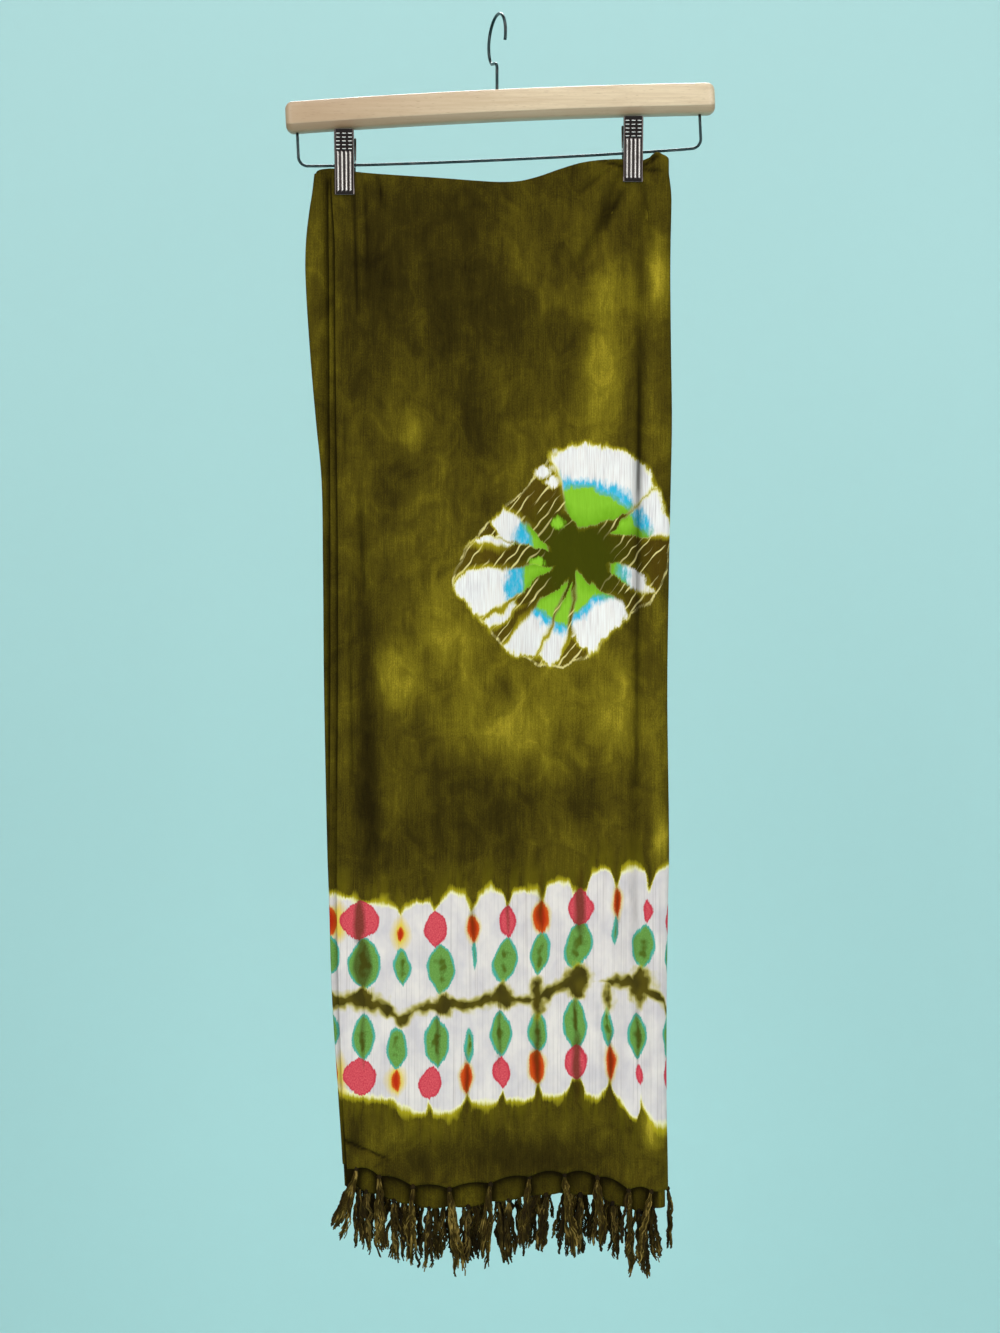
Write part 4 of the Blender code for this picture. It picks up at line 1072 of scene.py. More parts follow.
def tassel_tree():
    """Tree that hangs crinkled threads and a knot from each point of a mesh."""
    inputs = [
        ("Threads in a Lock", "Int", 7),
        ("Thread", "Float", 0.0005),
        ("Crinkle", "Float", 0.0012),
        ("Curl", "Float", 0.0005),
        ("Lock Radius", "Float", 0.0010),
        ("Splay", "Float", 0.006),
        ("Knot Size", "Float", 0.0024),
        ("Knot", "Object", None),
        ("Seed", "Int", 4),
        ("Material", "Material", None),
    ]
    tree, board, start, end = tree_with("hanging tassels", inputs)
    given = start.outputs

    def named(label, kind="FLOAT"):
        made = board.node("GeometryNodeInputNamedAttribute", data_type=kind)
        made.inputs["Name"].default_value = label
        return made.outputs[0]

    def stored(geometry, label, value, kind="FLOAT", domain="POINT"):
        made = board.node("GeometryNodeStoreNamedAttribute", data_type=kind, domain=domain)
        board.feed(made.inputs["Geometry"], geometry)
        made.inputs["Name"].default_value = label
        board.feed(made.inputs["Value"], value)
        return made.outputs[0]

    def chance_between(low, high, step, kind="FLOAT", same_for=None):
        made = board.node("FunctionNodeRandomValue", data_type=kind)
        sockets = [socket for socket in made.inputs if socket.enabled]
        board.feed(sockets[0], low)
        board.feed(sockets[1], high)
        board.feed(made.inputs["ID"], same_for)
        board.feed(made.inputs["Seed"], board.plus(given["Seed"], float(step)))
        return next(socket for socket in made.outputs if socket.enabled)

    here = board.node("GeometryNodeInputPosition").outputs[0]
    rooted = stored(given["Geometry"], "root", here, "FLOAT_VECTOR")
    copies = board.wired("GeometryNodeDuplicateElements", {
        "Geometry": rooted, "Amount": named("threads", "INT"),
    }, domain="POINT")
    points = copies.outputs["Geometry"]
    which = board.math("DIVIDE", copies.outputs["Duplicate Index"], given["Threads in a Lock"])
    lock = board.fit(named("knot", "INT"), 50.0, board.math("FLOOR", which))
    points = stored(points, "lock", lock, "INT")
    lock = named("lock", "INT")
    ends = ((-1, -1, -1), (1, 1, 1))
    points = stored(points, "splay", chance_between(*ends, 1, "FLOAT_VECTOR", lock), "FLOAT_VECTOR")
    points = stored(points, "fuzz", chance_between(*ends, 7, "FLOAT_VECTOR"), "FLOAT_VECTOR")
    shared = chance_between(0.74, 1.0, 2, "FLOAT", lock)
    points = stored(points, "share", board.times(shared, chance_between(0.84, 1.0, 8)))
    shared = board.times(chance_between(0.0, 1.0, 9, "FLOAT", lock), 0.5)
    points = stored(points, "shade", board.fit(chance_between(0.0, 1.0, 3), 0.5, shared))
    points = stored(points, "phase", chance_between(0.0, 90.0, 4, "FLOAT", lock))
    points = stored(points, "own", chance_between(0.0, 90.0, 10))
    line = board.node("GeometryNodeCurvePrimitiveLine")
    fine = board.wired("GeometryNodeResampleCurve", {"Curve": line.outputs[0], "Count": THREAD_POINTS})
    placed = board.wired("GeometryNodeInstanceOnPoints", {
        "Points": points, "Instance": fine.outputs[0],
    })
    real = board.wired("GeometryNodeRealizeInstances", {"Geometry": placed.outputs[0]})

    down = board.node("GeometryNodeSplineParameter").outputs["Factor"]
    splay = board.node("ShaderNodeSeparateXYZ", named("splay", "FLOAT_VECTOR"))
    reach = board.times(named("drop"), named("share"))
    wander_at = board.joined(board.times(down, 4.6), named("phase"), board.times(named("phase"), 0.37))
    wander = board.wired("ShaderNodeTexNoise", {
        "Vector": wander_at, "Scale": 1.0, "Detail": 2.0, "Roughness": 0.62,
    })
    shaken = board.vector("SUBTRACT", wander.outputs["Color"], (0.5, 0.5, 0.5))
    loosened = board.remap(down, 0.0, 0.22, 0.10, 1.0)
    crinkle = board.times(board.times(given["Crinkle"], 5.0), loosened)
    shaken = board.scaled(shaken, crinkle)
    own_at = board.joined(board.times(down, 9.0), named("own"), 0.0)
    curl = board.wired("ShaderNodeTexNoise", {"Vector": own_at, "Scale": 1.0, "Detail": 2.0})
    curled = board.vector("SUBTRACT", curl.outputs["Color"], (0.5, 0.5, 0.5))
    loose_end = board.remap(down, 0.70, 1.0, 1.0, 2.2)
    amount = board.times(board.times(given["Curl"], 4.0), loosened)
    shaken = board.vector("ADD", shaken, board.scaled(curled, board.times(amount, loose_end)))
    body = board.times(given["Lock Radius"], board.remap(down, 0.0, 0.15, 0.35, 1.0))
    shaken = board.vector("ADD", shaken, board.scaled(named("fuzz", "FLOAT_VECTOR"), body))
    shaken = board.node("ShaderNodeSeparateXYZ", shaken)
    opened = board.math("POWER", down, 0.75)
    gathered = board.minus(1.0, board.times(board.math("POWER", down, 5.0), 0.35))
    fan = board.times(board.times(opened, given["Splay"]), gathered)
    sideways = board.times(splay.outputs["X"], fan)
    sideways = board.plus(sideways, shaken.outputs["X"])
    lean = board.times(named("lean"), board.math("POWER", down, 1.25))
    sideways = board.plus(sideways, lean)
    forwards = board.times(board.times(splay.outputs["Y"], fan), 0.42)
    forwards = board.plus(forwards, board.times(shaken.outputs["Y"], 0.7))
    bulge = board.math("SINE", board.times(down, 2.6))
    forwards = board.fit(bulge, 0.0016, forwards)
    fall = board.times(board.times(down, reach), -1.0)
    fall = board.plus(fall, board.times(shaken.outputs["Z"], 0.5))
    goal = board.scaled(named("along", "FLOAT_VECTOR"), sideways)
    goal = board.vector("ADD", named("root", "FLOAT_VECTOR"), goal)
    goal = board.vector("ADD", goal, board.scaled(named("out", "FLOAT_VECTOR"), forwards))
    goal = board.vector("ADD", goal, board.joined(0.0, 0.0, fall))
    moved = board.wired("GeometryNodeSetPosition", {"Geometry": real.outputs[0], "Position": goal})
    slim = board.wired("GeometryNodeSetCurveRadius", {"Curve": moved.outputs[0]})
    frayed = board.remap(down, 0.75, 1.0, 1.0, 0.35)
    thick = board.fit(named("shade"), 0.5, 0.75)
    board.feed(slim.inputs["Radius"], board.times(frayed, thick))
    ring = board.wired("GeometryNodeCurvePrimitiveCircle", {
        "Resolution": 4, "Radius": board.times(given["Thread"], 0.5),
    })
    threads = board.wired("GeometryNodeCurveToMesh", {
        "Curve": slim.outputs[0], "Profile Curve": ring.outputs[0], "Fill Caps": True,
    })

    bead = board.wired("GeometryNodeObjectInfo", {"Object": given["Knot"]})
    tied = board.wired("GeometryNodeInstanceOnPoints", {
        "Points": rooted, "Instance": bead.outputs["Geometry"],
        "Rotation": chance_between((-0.3, -0.5, -0.5), (0.3, 0.5, 0.5), 6, "FLOAT_VECTOR"),
    })
    girth = board.times(named("size"), given["Knot Size"])
    board.feed(tied.inputs["Scale"], board.times(girth, chance_between(0.8, 1.15, 5)))
    both = board.node("GeometryNodeJoinGeometry")
    board.feed(both.inputs[0], threads.outputs[0])
    board.feed(both.inputs[0], tied.outputs[0])
    solid = board.wired("GeometryNodeRealizeInstances", {"Geometry": both.outputs[0]})
    coloured = board.wired("GeometryNodeSetMaterial", {
        "Geometry": solid.outputs[0], "Material": given["Material"],
    })
    board.feed(end.inputs[0], coloured.outputs[0])
    return tree


def fringe_piece(name, knots, settings, material, bead, seed):
    """The tassels and knots of one end of the cloth, as one mesh."""
    mesh = bpy.data.meshes.new(name)
    mesh.from_pydata([knot.point for knot in knots], [], [])
    made = plain_object(name, mesh)
    columns = [
        ("along", "FLOAT_VECTOR", "vector", [(*knot.along, 0.0) for knot in knots]),
        ("out", "FLOAT_VECTOR", "vector", [(*knot.out, 0.0) for knot in knots]),
        ("lean", "FLOAT", "value", [knot.lean for knot in knots]),
        ("drop", "FLOAT", "value", [knot.length for knot in knots]),
        ("size", "FLOAT", "value", [knot.size for knot in knots]),
        ("threads", "INT", "value", [knot.threads for knot in knots]),
        ("knot", "INT", "value", list(range(len(knots)))),
    ]
    for label, kind, field, rows in columns:
        held = mesh.attributes.new(label, kind, "POINT")
        for item, row in zip(held.data, rows):
            setattr(item, field, row)
    values = {
        "Thread": settings.thread,
        "Threads in a Lock": settings.lock_threads,
        "Crinkle": settings.crinkle,
        "Curl": settings.curl,
        "Lock Radius": settings.lock_radius,
        "Splay": settings.splay,
        "Knot Size": settings.knot,
        "Knot": bead,
        "Seed": seed,
        "Material": material,
    }
    run_tree(made, tassel_tree(), values)
    made.data.shade_smooth()
    return made


def tilted():
    """Where the bar's own frame lies: its top middle, turned a little."""
    return Matrix.Translation((0.0, 0.0, BAR_TOP)) @ Matrix.Rotation(-TILT, 4, "Y")


def bar_rise(x):
    """How much lower the arched bar is at x than at its middle."""
    return -BAR_ARCH * ((x - BAR_CENTRE_X) / (BAR_LENGTH / 2)) ** 2


# Half of the bar's cross-section, from its top middle round to its bottom middle: how far out, how far
# down, and how much painted shade darkens the wood there.
BarPoint = namedtuple("BarPoint", "out down shade")
BAR_SECTION = [
    BarPoint(0.0000, 0.0000, 0.0), BarPoint(0.0034, 0.0000, 0.0), BarPoint(0.0056, 0.0004, 0.0),
    BarPoint(0.0070, 0.0014, 0.0), BarPoint(0.0078, 0.0030, 0.0), BarPoint(0.0080, 0.0048, 0.0),
    BarPoint(0.0080, 0.0110, 0.0), BarPoint(0.0080, 0.0184, 0.0), BarPoint(0.0079, 0.0193, 0.1),
    BarPoint(0.0075, 0.0198, 0.8), BarPoint(0.0060, 0.0222, 1.0), BarPoint(0.0047, 0.0240, 1.0),
    BarPoint(0.0036, 0.0248, 0.9), BarPoint(0.0000, 0.0250, 0.8),
]


def build_bar(material):
    """The wooden bar: a rounded section with a chamfer below that carries painted shade, arched and
    rounded at its ends.
    """
    ring_points = [(-p.out, p.down, p.shade) for p in BAR_SECTION]
    ring_points += [(p.out, p.down, p.shade) for p in reversed(BAR_SECTION[1:-1])]
    stations = []
    for k in range(CAP_STEPS):
        angle = math.pi / 2 * k / CAP_STEPS
        stations.append((BAR_CAP * (1 - math.cos(angle)), 0.30 + 0.70 * math.sin(angle)))
    for k in range(41):
        stations.append((BAR_CAP + (BAR_LENGTH - 2 * BAR_CAP) * k / 40, 1.0))
    stations += [(BAR_LENGTH - at, size) for at, size in reversed(stations[:CAP_STEPS])]
    work = bmesh.new()
    layer = work.verts.layers.float.new("shade")
    grid = []
    for at, size in stations:
        x = BAR_CENTRE_X - BAR_LENGTH / 2 + at
        ring = []
        for out, down, shade in ring_points:
            z = bar_rise(x) - BAR_HEIGHT / 2 + (BAR_HEIGHT / 2 - down) * (0.35 + 0.65 * size)
            vert = work.verts.new((x, out * size, z))
            vert[layer] = shade
            ring.append(vert)
        grid.append(ring)
    count = len(ring_points)
    for left, right in zip(grid, grid[1:]):
        for i in range(count):
            n = (i + 1) % count
            work.faces.new((left[i], right[i], right[n], left[n]))
    work.faces.new(grid[0])
    work.faces.new(grid[-1])
    bmesh.ops.recalc_face_normals(work, faces=work.faces)
    bmesh.ops.transform(work, matrix=tilted(), verts=work.verts)
    made = object_of("wooden_bar", work)
    made.data.materials.append(material)
    return made


def wire_height(x):
    """Height of the swing wire below the bar's top, in the bar's own frame."""
    return -WIRE_DROP - WIRE_SAG * (1 - (x / WIRE_HALF_SPAN) ** 2)


def round_wire(name, points, radius, material, place=None):
    """A smooth round wire through points, as a closed mesh."""
    data = bpy.data.curves.new(name, "CURVE")
    data.dimensions = "3D"
    data.bevel_depth = radius
    data.bevel_resolution = 5
    data.use_fill_caps = True
    spline = data.splines.new("POLY")
    spline.points.add(len(points) - 1)
    for target, point in zip(spline.points, points):
        target.co = (*point, 1.0)
        target.radius = 1.0
    spline.use_smooth = True
    guide = bpy.data.objects.new(name + " guide", data)
    bpy.context.scene.collection.objects.link(guide)
    graph = bpy.context.evaluated_depsgraph_get()
    mesh = bpy.data.meshes.new_from_object(guide.evaluated_get(graph), depsgraph=graph)
    bpy.data.objects.remove(guide, do_unlink=True)
    work = bmesh.new()
    work.from_mesh(mesh)
    bmesh.ops.remove_doubles(work, verts=work.verts, dist=WELD)
    bmesh.ops.recalc_face_normals(work, faces=work.faces)
    if place is not None:
        bmesh.ops.transform(work, matrix=place, verts=work.verts)
    made = object_of(name, work)
    made.data.materials.clear()
    made.data.materials.append(material)
    return made


def build_swing_wire(material):
    """The long wire under the bar that carries the clips."""
    top = -BAR_HEIGHT + bar_rise(WIRE_HALF_SPAN) + WIRE_IN_BAR - 0.0006
    side = [(WIRE_HALF_SPAN, 0.0, top), (WIRE_HALF_SPAN, 0.0, -WIRE_DROP + 0.020)]
    for k in range(13):
        angle = math.pi / 2 * k / 12
        x = WIRE_HALF_SPAN - WIRE_CORNER * (1 - math.cos(angle))
        side.append((x, 0.0, -WIRE_DROP + WIRE_CORNER * (1 - math.sin(angle))))
    span = WIRE_HALF_SPAN - WIRE_CORNER
    low = [span * (1 - 2 * k / 32) for k in range(1, 32)]
    middle = [(x, 0.0, wire_height(x)) for x in low]
    mirrored = [(-x, y, z) for x, y, z in reversed(side)]
    return round_wire("swing_wire_bright", [*side, *middle, *mirrored], WIRE_RADIUS, material, tilted())


def build_hook(material):
    """The hook: a stem out of the bar, a small crook and an open round, seen nearly edge on."""
    centre = HOOK_WIRE_RADIUS - HOOK_RADIUS
    flat = [(0.0, BAR_TOP - HOOK_IN_BAR + 0.002), (0.0, BAR_TOP + 0.006), (0.0, HOOK_STEM_TOP)]
    flat += [(0.0002, HOOK_STEM_TOP + 0.0012), (0.0012, HOOK_STEM_TOP + 0.0030)]
    flat += [(0.0030, HOOK_STEM_TOP + 0.0045), (0.0050, HOOK_STEM_TOP + 0.0052)]
    for degrees in range(-52, 202, 6):
        angle = math.radians(degrees)
        flat.append((HOOK_RADIUS * math.cos(angle), centre + HOOK_RADIUS * math.sin(angle)))
    way = Vector((-math.sin(HOOK_TURN), math.cos(HOOK_TURN)))
    points = [(way.x * a, way.y * a, z) for a, z in flat]
    return round_wire("hook_bright", points, HOOK_WIRE_RADIUS, material)


# Side profile of a jaw: height over the wire, how far the plate stands out, how deep its side
# flange is, and how strong its four pressed ribs are.
JawRow = namedtuple("JawRow", "z out flange ribs")
JAW = [
    JawRow(0.0265, 0.0128, 0.0014, 0.0), JawRow(0.0190, 0.0120, 0.0018, 0.0),
    JawRow(0.0085, 0.0107, 0.0022, 0.0), JawRow(0.0070, 0.0105, 0.0026, 1.0),
    JawRow(0.0018, 0.0099, 0.0080, 1.0), JawRow(-0.0018, 0.0095, 0.0076, 1.0),
    JawRow(-0.0048, 0.0091, 0.0018, 1.0), JawRow(-0.0215, 0.0076, 0.0013, 1.0),
    JawRow(-0.0232, 0.0074, 0.0012, 0.0), JawRow(-0.0265, 0.0074, 0.0012, 0.0),
]
RIB_HEIGHT = 0.0009
RIB_PITCH = 0.0034
JAW_REACH = 0.0265
RIDGE_MIDDLE = 0.0166
JAW_LIP = 0.0011
TOP_CORNER = 0.0022
TIP_CORNER = 0.0014
JAW_HEIGHTS = [
    0.0265, 0.0262, 0.0255, 0.0240, 0.0215, 0.0190, 0.0160, 0.0130, 0.0105, 0.0090, 0.0082, 0.0075,
    0.0068, 0.0058, 0.0045, 0.0030, 0.0018, 0.0, -0.0018, -0.0032, -0.0048, -0.0080, -0.0120,
    -0.0160, -0.0195, -0.0210, -0.0218, -0.0226, -0.0240, -0.0255, -0.0262, -0.0265,
]


def jaw_at(z):
    """The jaw's profile at a height over the wire."""
    rows = sorted(JAW)
    for low, high in zip(rows, rows[1:]):
        if z <= high.z:
            t = max(0.0, (z - low.z) / (high.z - low.z))
            return JawRow(z, *(a + (b - a) * t for a, b in zip(low[1:], high[1:])))
    return rows[-1]


def jaw_plate(name, clip_x, wire_z, facing):
    """One pressed plate: bent sides, rounded corners and four ribs. facing is -1 in front."""
    half = CLIP_WIDTH / 2
    inner = [-half + JAW_LIP + (2 * half - 2 * JAW_LIP) * k / 48 for k in range(49)]
    work = bmesh.new()
    # The flat value marks the level faces that get painted dark reflection. The rib crests carry none.
    flat = work.verts.layers.float.new("flat")
    grid = []
    for z in JAW_HEIGHTS:
        row = jaw_at(z)
        corner = (JAW_REACH - z) / TOP_CORNER if z > 0 else (z + JAW_REACH) / TIP_CORNER
        corner = min(1.0, corner)
        squeeze = 1.0 - 0.09 * (1.0 - math.sqrt(max(0.0, 1 - (1 - corner) ** 2)))
        line = [(-half, row.out - row.flange), (-half, row.out - row.flange * 0.5)]
        line += [(-half + 0.00015, row.out - 0.0006), (-half + 0.0005, row.out - 0.00012)]
        crests = {}
        for x in inner:
            wave = math.cos(2 * math.pi * x / RIB_PITCH + math.pi)
            bump = max(0.0, wave) ** 1.3 if abs(x) < 2 * RIB_PITCH else 0.0
            crests[len(line)] = row.ribs * bump
            line.append((x, row.out + RIB_HEIGHT * row.ribs * bump))
        line += [(half - 0.0005, row.out - 0.00012), (half - 0.00015, row.out - 0.0006)]
        line += [(half, row.out - row.flange * 0.5), (half, row.out - row.flange)]
        places = [(clip_x + x * squeeze, facing * y, wire_z + z) for x, y in line]
        grid.append([work.verts.new(place) for place in places])
        for k, vert in enumerate(grid[-1]):
            vert[flat] = 1.0 - min(1.0, 1.3 * crests.get(k, 0.0))
    for upper, lower in zip(grid, grid[1:]):
        for k in range(len(upper) - 1):
            corners = (upper[k], lower[k], lower[k + 1], upper[k + 1])
            work.faces.new(corners if facing < 0 else corners[::-1])
    made = object_of(name, work)
    wall = made.modifiers.new("plate", "SOLIDIFY")
    wall.thickness = CLIP_PLATE * 0.9
    wall.offset = -1.0
    wall.use_even_offset = True
    return baked(made)


def ridge_tree():
    """Tree that adds rows of small grip ridges to a plate."""
    inputs = [
        ("Rows", "Int", 5),
        ("Columns", "Int", 3),
        ("Width", "Float", 0.0102),
        ("Height", "Float", 0.0130),
        ("Ridge Length", "Float", 0.0036),
        ("Ridge Radius", "Float", 0.0004),
        ("Centre", "Vector", (0.0, 0.0, 0.0)),
        ("Slope", "Float", 0.09),
        ("Material", "Material", None),
    ]
    tree, board, start, end = tree_with("grip ridges", inputs)
    given = start.outputs
    grid = board.wired("GeometryNodeMeshGrid", {
        "Size X": given["Width"], "Size Y": given["Height"], "Vertices X": given["Columns"],
        "Vertices Y": given["Rows"],
    })
    bar = board.wired("GeometryNodeMeshUVSphere", {"Segments": 8, "Rings": 6, "Radius": 1.0})
    shaped = board.wired("GeometryNodeTransform", {"Geometry": bar.outputs[0]})
    size = board.joined(
        board.times(given["Ridge Length"], 0.5), given["Ridge Radius"], given["Ridge Radius"]
    )
    board.feed(shaped.inputs["Scale"], size)
    placed = board.wired("GeometryNodeInstanceOnPoints", {
        "Points": grid.outputs[0], "Instance": shaped.outputs[0],
    })
    stood = board.wired("GeometryNodeTransform", {"Geometry": placed.outputs[0]})
    upright = board.plus(given["Slope"], math.pi / 2)
    board.feed(stood.inputs["Rotation"], board.joined(upright, 0.0, 0.0))
    board.feed(stood.inputs["Translation"], given["Centre"])
    both = board.node("GeometryNodeJoinGeometry")
    board.feed(both.inputs[0], given["Geometry"])
    board.feed(both.inputs[0], stood.outputs[0])
    real = board.wired("GeometryNodeRealizeInstances", {"Geometry": both.outputs[0]})
    coloured = board.wired("GeometryNodeSetMaterial", {
        "Geometry": real.outputs[0], "Material": given["Material"],
    })
    board.feed(end.inputs[0], coloured.outputs[0])
    return tree


def coil_tree():
    """Tree that winds a wire into a close coil along X, turned and placed."""
    inputs = [
        ("Turns", "Float", 9.0),
        ("Coil Radius", "Float", 0.0030),
        ("Wire Radius", "Float", 0.0005),
        ("Length", "Float", 0.0105),
        ("Centre", "Vector", (0.0, 0.0, 0.0)),
        ("Slope", "Float", 0.0),
        ("Material", "Material", None),
    ]
    tree, board, start, end = tree_with("close coil", inputs)
    given = start.outputs
    wound = board.wired("GeometryNodeCurveSpiral", {
        "Resolution": 18, "Rotations": given["Turns"], "Start Radius": given["Coil Radius"],
        "End Radius": given["Coil Radius"], "Height": given["Length"],
    })
    ring = board.wired("GeometryNodeCurvePrimitiveCircle", {
        "Resolution": 8, "Radius": given["Wire Radius"],
    })
    wire = board.wired("GeometryNodeCurveToMesh", {
        "Curve": wound.outputs[0], "Profile Curve": ring.outputs[0], "Fill Caps": True,
    })
    centred = board.wired("GeometryNodeTransform", {"Geometry": wire.outputs[0]})
    back = board.times(given["Length"], -0.5)
    board.feed(centred.inputs["Translation"], board.joined(0.0, 0.0, back))
    laid = board.wired("GeometryNodeTransform", {"Geometry": centred.outputs[0]})
    turned = board.minus(math.pi / 2, given["Slope"])
    board.feed(laid.inputs["Rotation"], board.joined(0.0, turned, 0.0))
    board.feed(laid.inputs["Translation"], given["Centre"])
    real = board.wired("GeometryNodeRealizeInstances", {"Geometry": laid.outputs[0]})
    coloured = board.wired("GeometryNodeSetMaterial", {
        "Geometry": real.outputs[0], "Material": given["Material"],
    })
    board.feed(end.inputs[0], coloured.outputs[0])
    return tree


def build_clip(side, clip_x, material, spring_material, ridges, coil):
    """Both jaws and the coil of one clip."""
    local_x = clip_x * math.cos(TILT)
    wire_z = BAR_TOP + clip_x * math.sin(TILT) + wire_height(local_x) * math.cos(TILT)
    slope = TILT + 2 * WIRE_SAG * local_x / WIRE_HALF_SPAN ** 2
    pieces = []
    for end, facing in (("front", -1), ("back", 1)):
        plate = jaw_plate(f"clip_{side}_{end}_jaw", clip_x, wire_z, facing)
        out = jaw_at(RIDGE_MIDDLE).out + 0.00004
        lean = math.atan2(jaw_at(0.024).out - jaw_at(0.009).out, 0.015)
        values = {
            "Rows": 5,
            "Columns": 3,
            "Width": 0.0100,
            "Height": 0.0124,
            "Ridge Length": 0.0038,
            "Ridge Radius": 0.00045,
            "Centre": (clip_x, facing * out, wire_z + RIDGE_MIDDLE),
            "Slope": lean if facing < 0 else -lean,
            "Material": material,
        }
        run_tree(plate, ridges, values)
        plate.data.shade_smooth()
        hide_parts(f"clip_{side}_{end}")
        pieces.append(plate)
    mesh = bpy.data.meshes.new("coil")
    spring = plain_object(f"clip_{side}_coil", mesh)
    values = {
        "Turns": 9.0,
        "Coil Radius": 0.0029,
        "Wire Radius": 0.00052,
        "Length": 0.0106,
        "Centre": (clip_x, 0.0, wire_z),
        "Slope": slope,
        "Material": spring_material,
    }
    run_tree(spring, coil, values)
    spring.data.shade_smooth()
    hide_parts(f"clip_{side}_spring")
    pieces.append(spring)
    for piece in pieces:
        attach(piece, "root")


# Spots that only darken what is under them.
STAINS = [
    Spot(-113.5, -754.0, 10.0, 46.0), Spot(-111.0, -788.0, 15.0, 44.0),
    Spot(69.0, -738.0, 9.0, 62.0), Spot(66.0, -872.0, 7.5, 62.0), Spot(33.2, -862.0, 6.0, 84.0),
    Spot(36.6, -738.0, 5.0, 44.0), Spot(93.6, -874.0, 3.2, 60.0), Spot(99.5, -738.0, 3.0, 48.0),
    Spot(-24.9, -888.0, 4.0, 44.0), Spot(-19.9, -752.0, 3.4, 40.0), Spot(9.0, -744.0, 2.6, 36.0),
    Spot(2.0, -846.0, 2.6, 44.0), Spot(64.7, -838.0, 3.0, 50.0), Spot(116.5, -846.0, 3.0, 44.0),
    Spot(-110.4, -848.0, 2.8, 40.0), Spot(-49.0, -845.0, 3.2, 46.0),
]

# Yellow pools that stand alone round a small orange spot.
HALOS = [
    Spot(-79.7, -763.2, 13.0, 28.0), Spot(-83.8, -884.0, 15.0, 25.0),
    Spot(-131.0, -753.0, 14.0, 34.0), Spot(-129.0, -880.0, 10.0, 34.0),
]


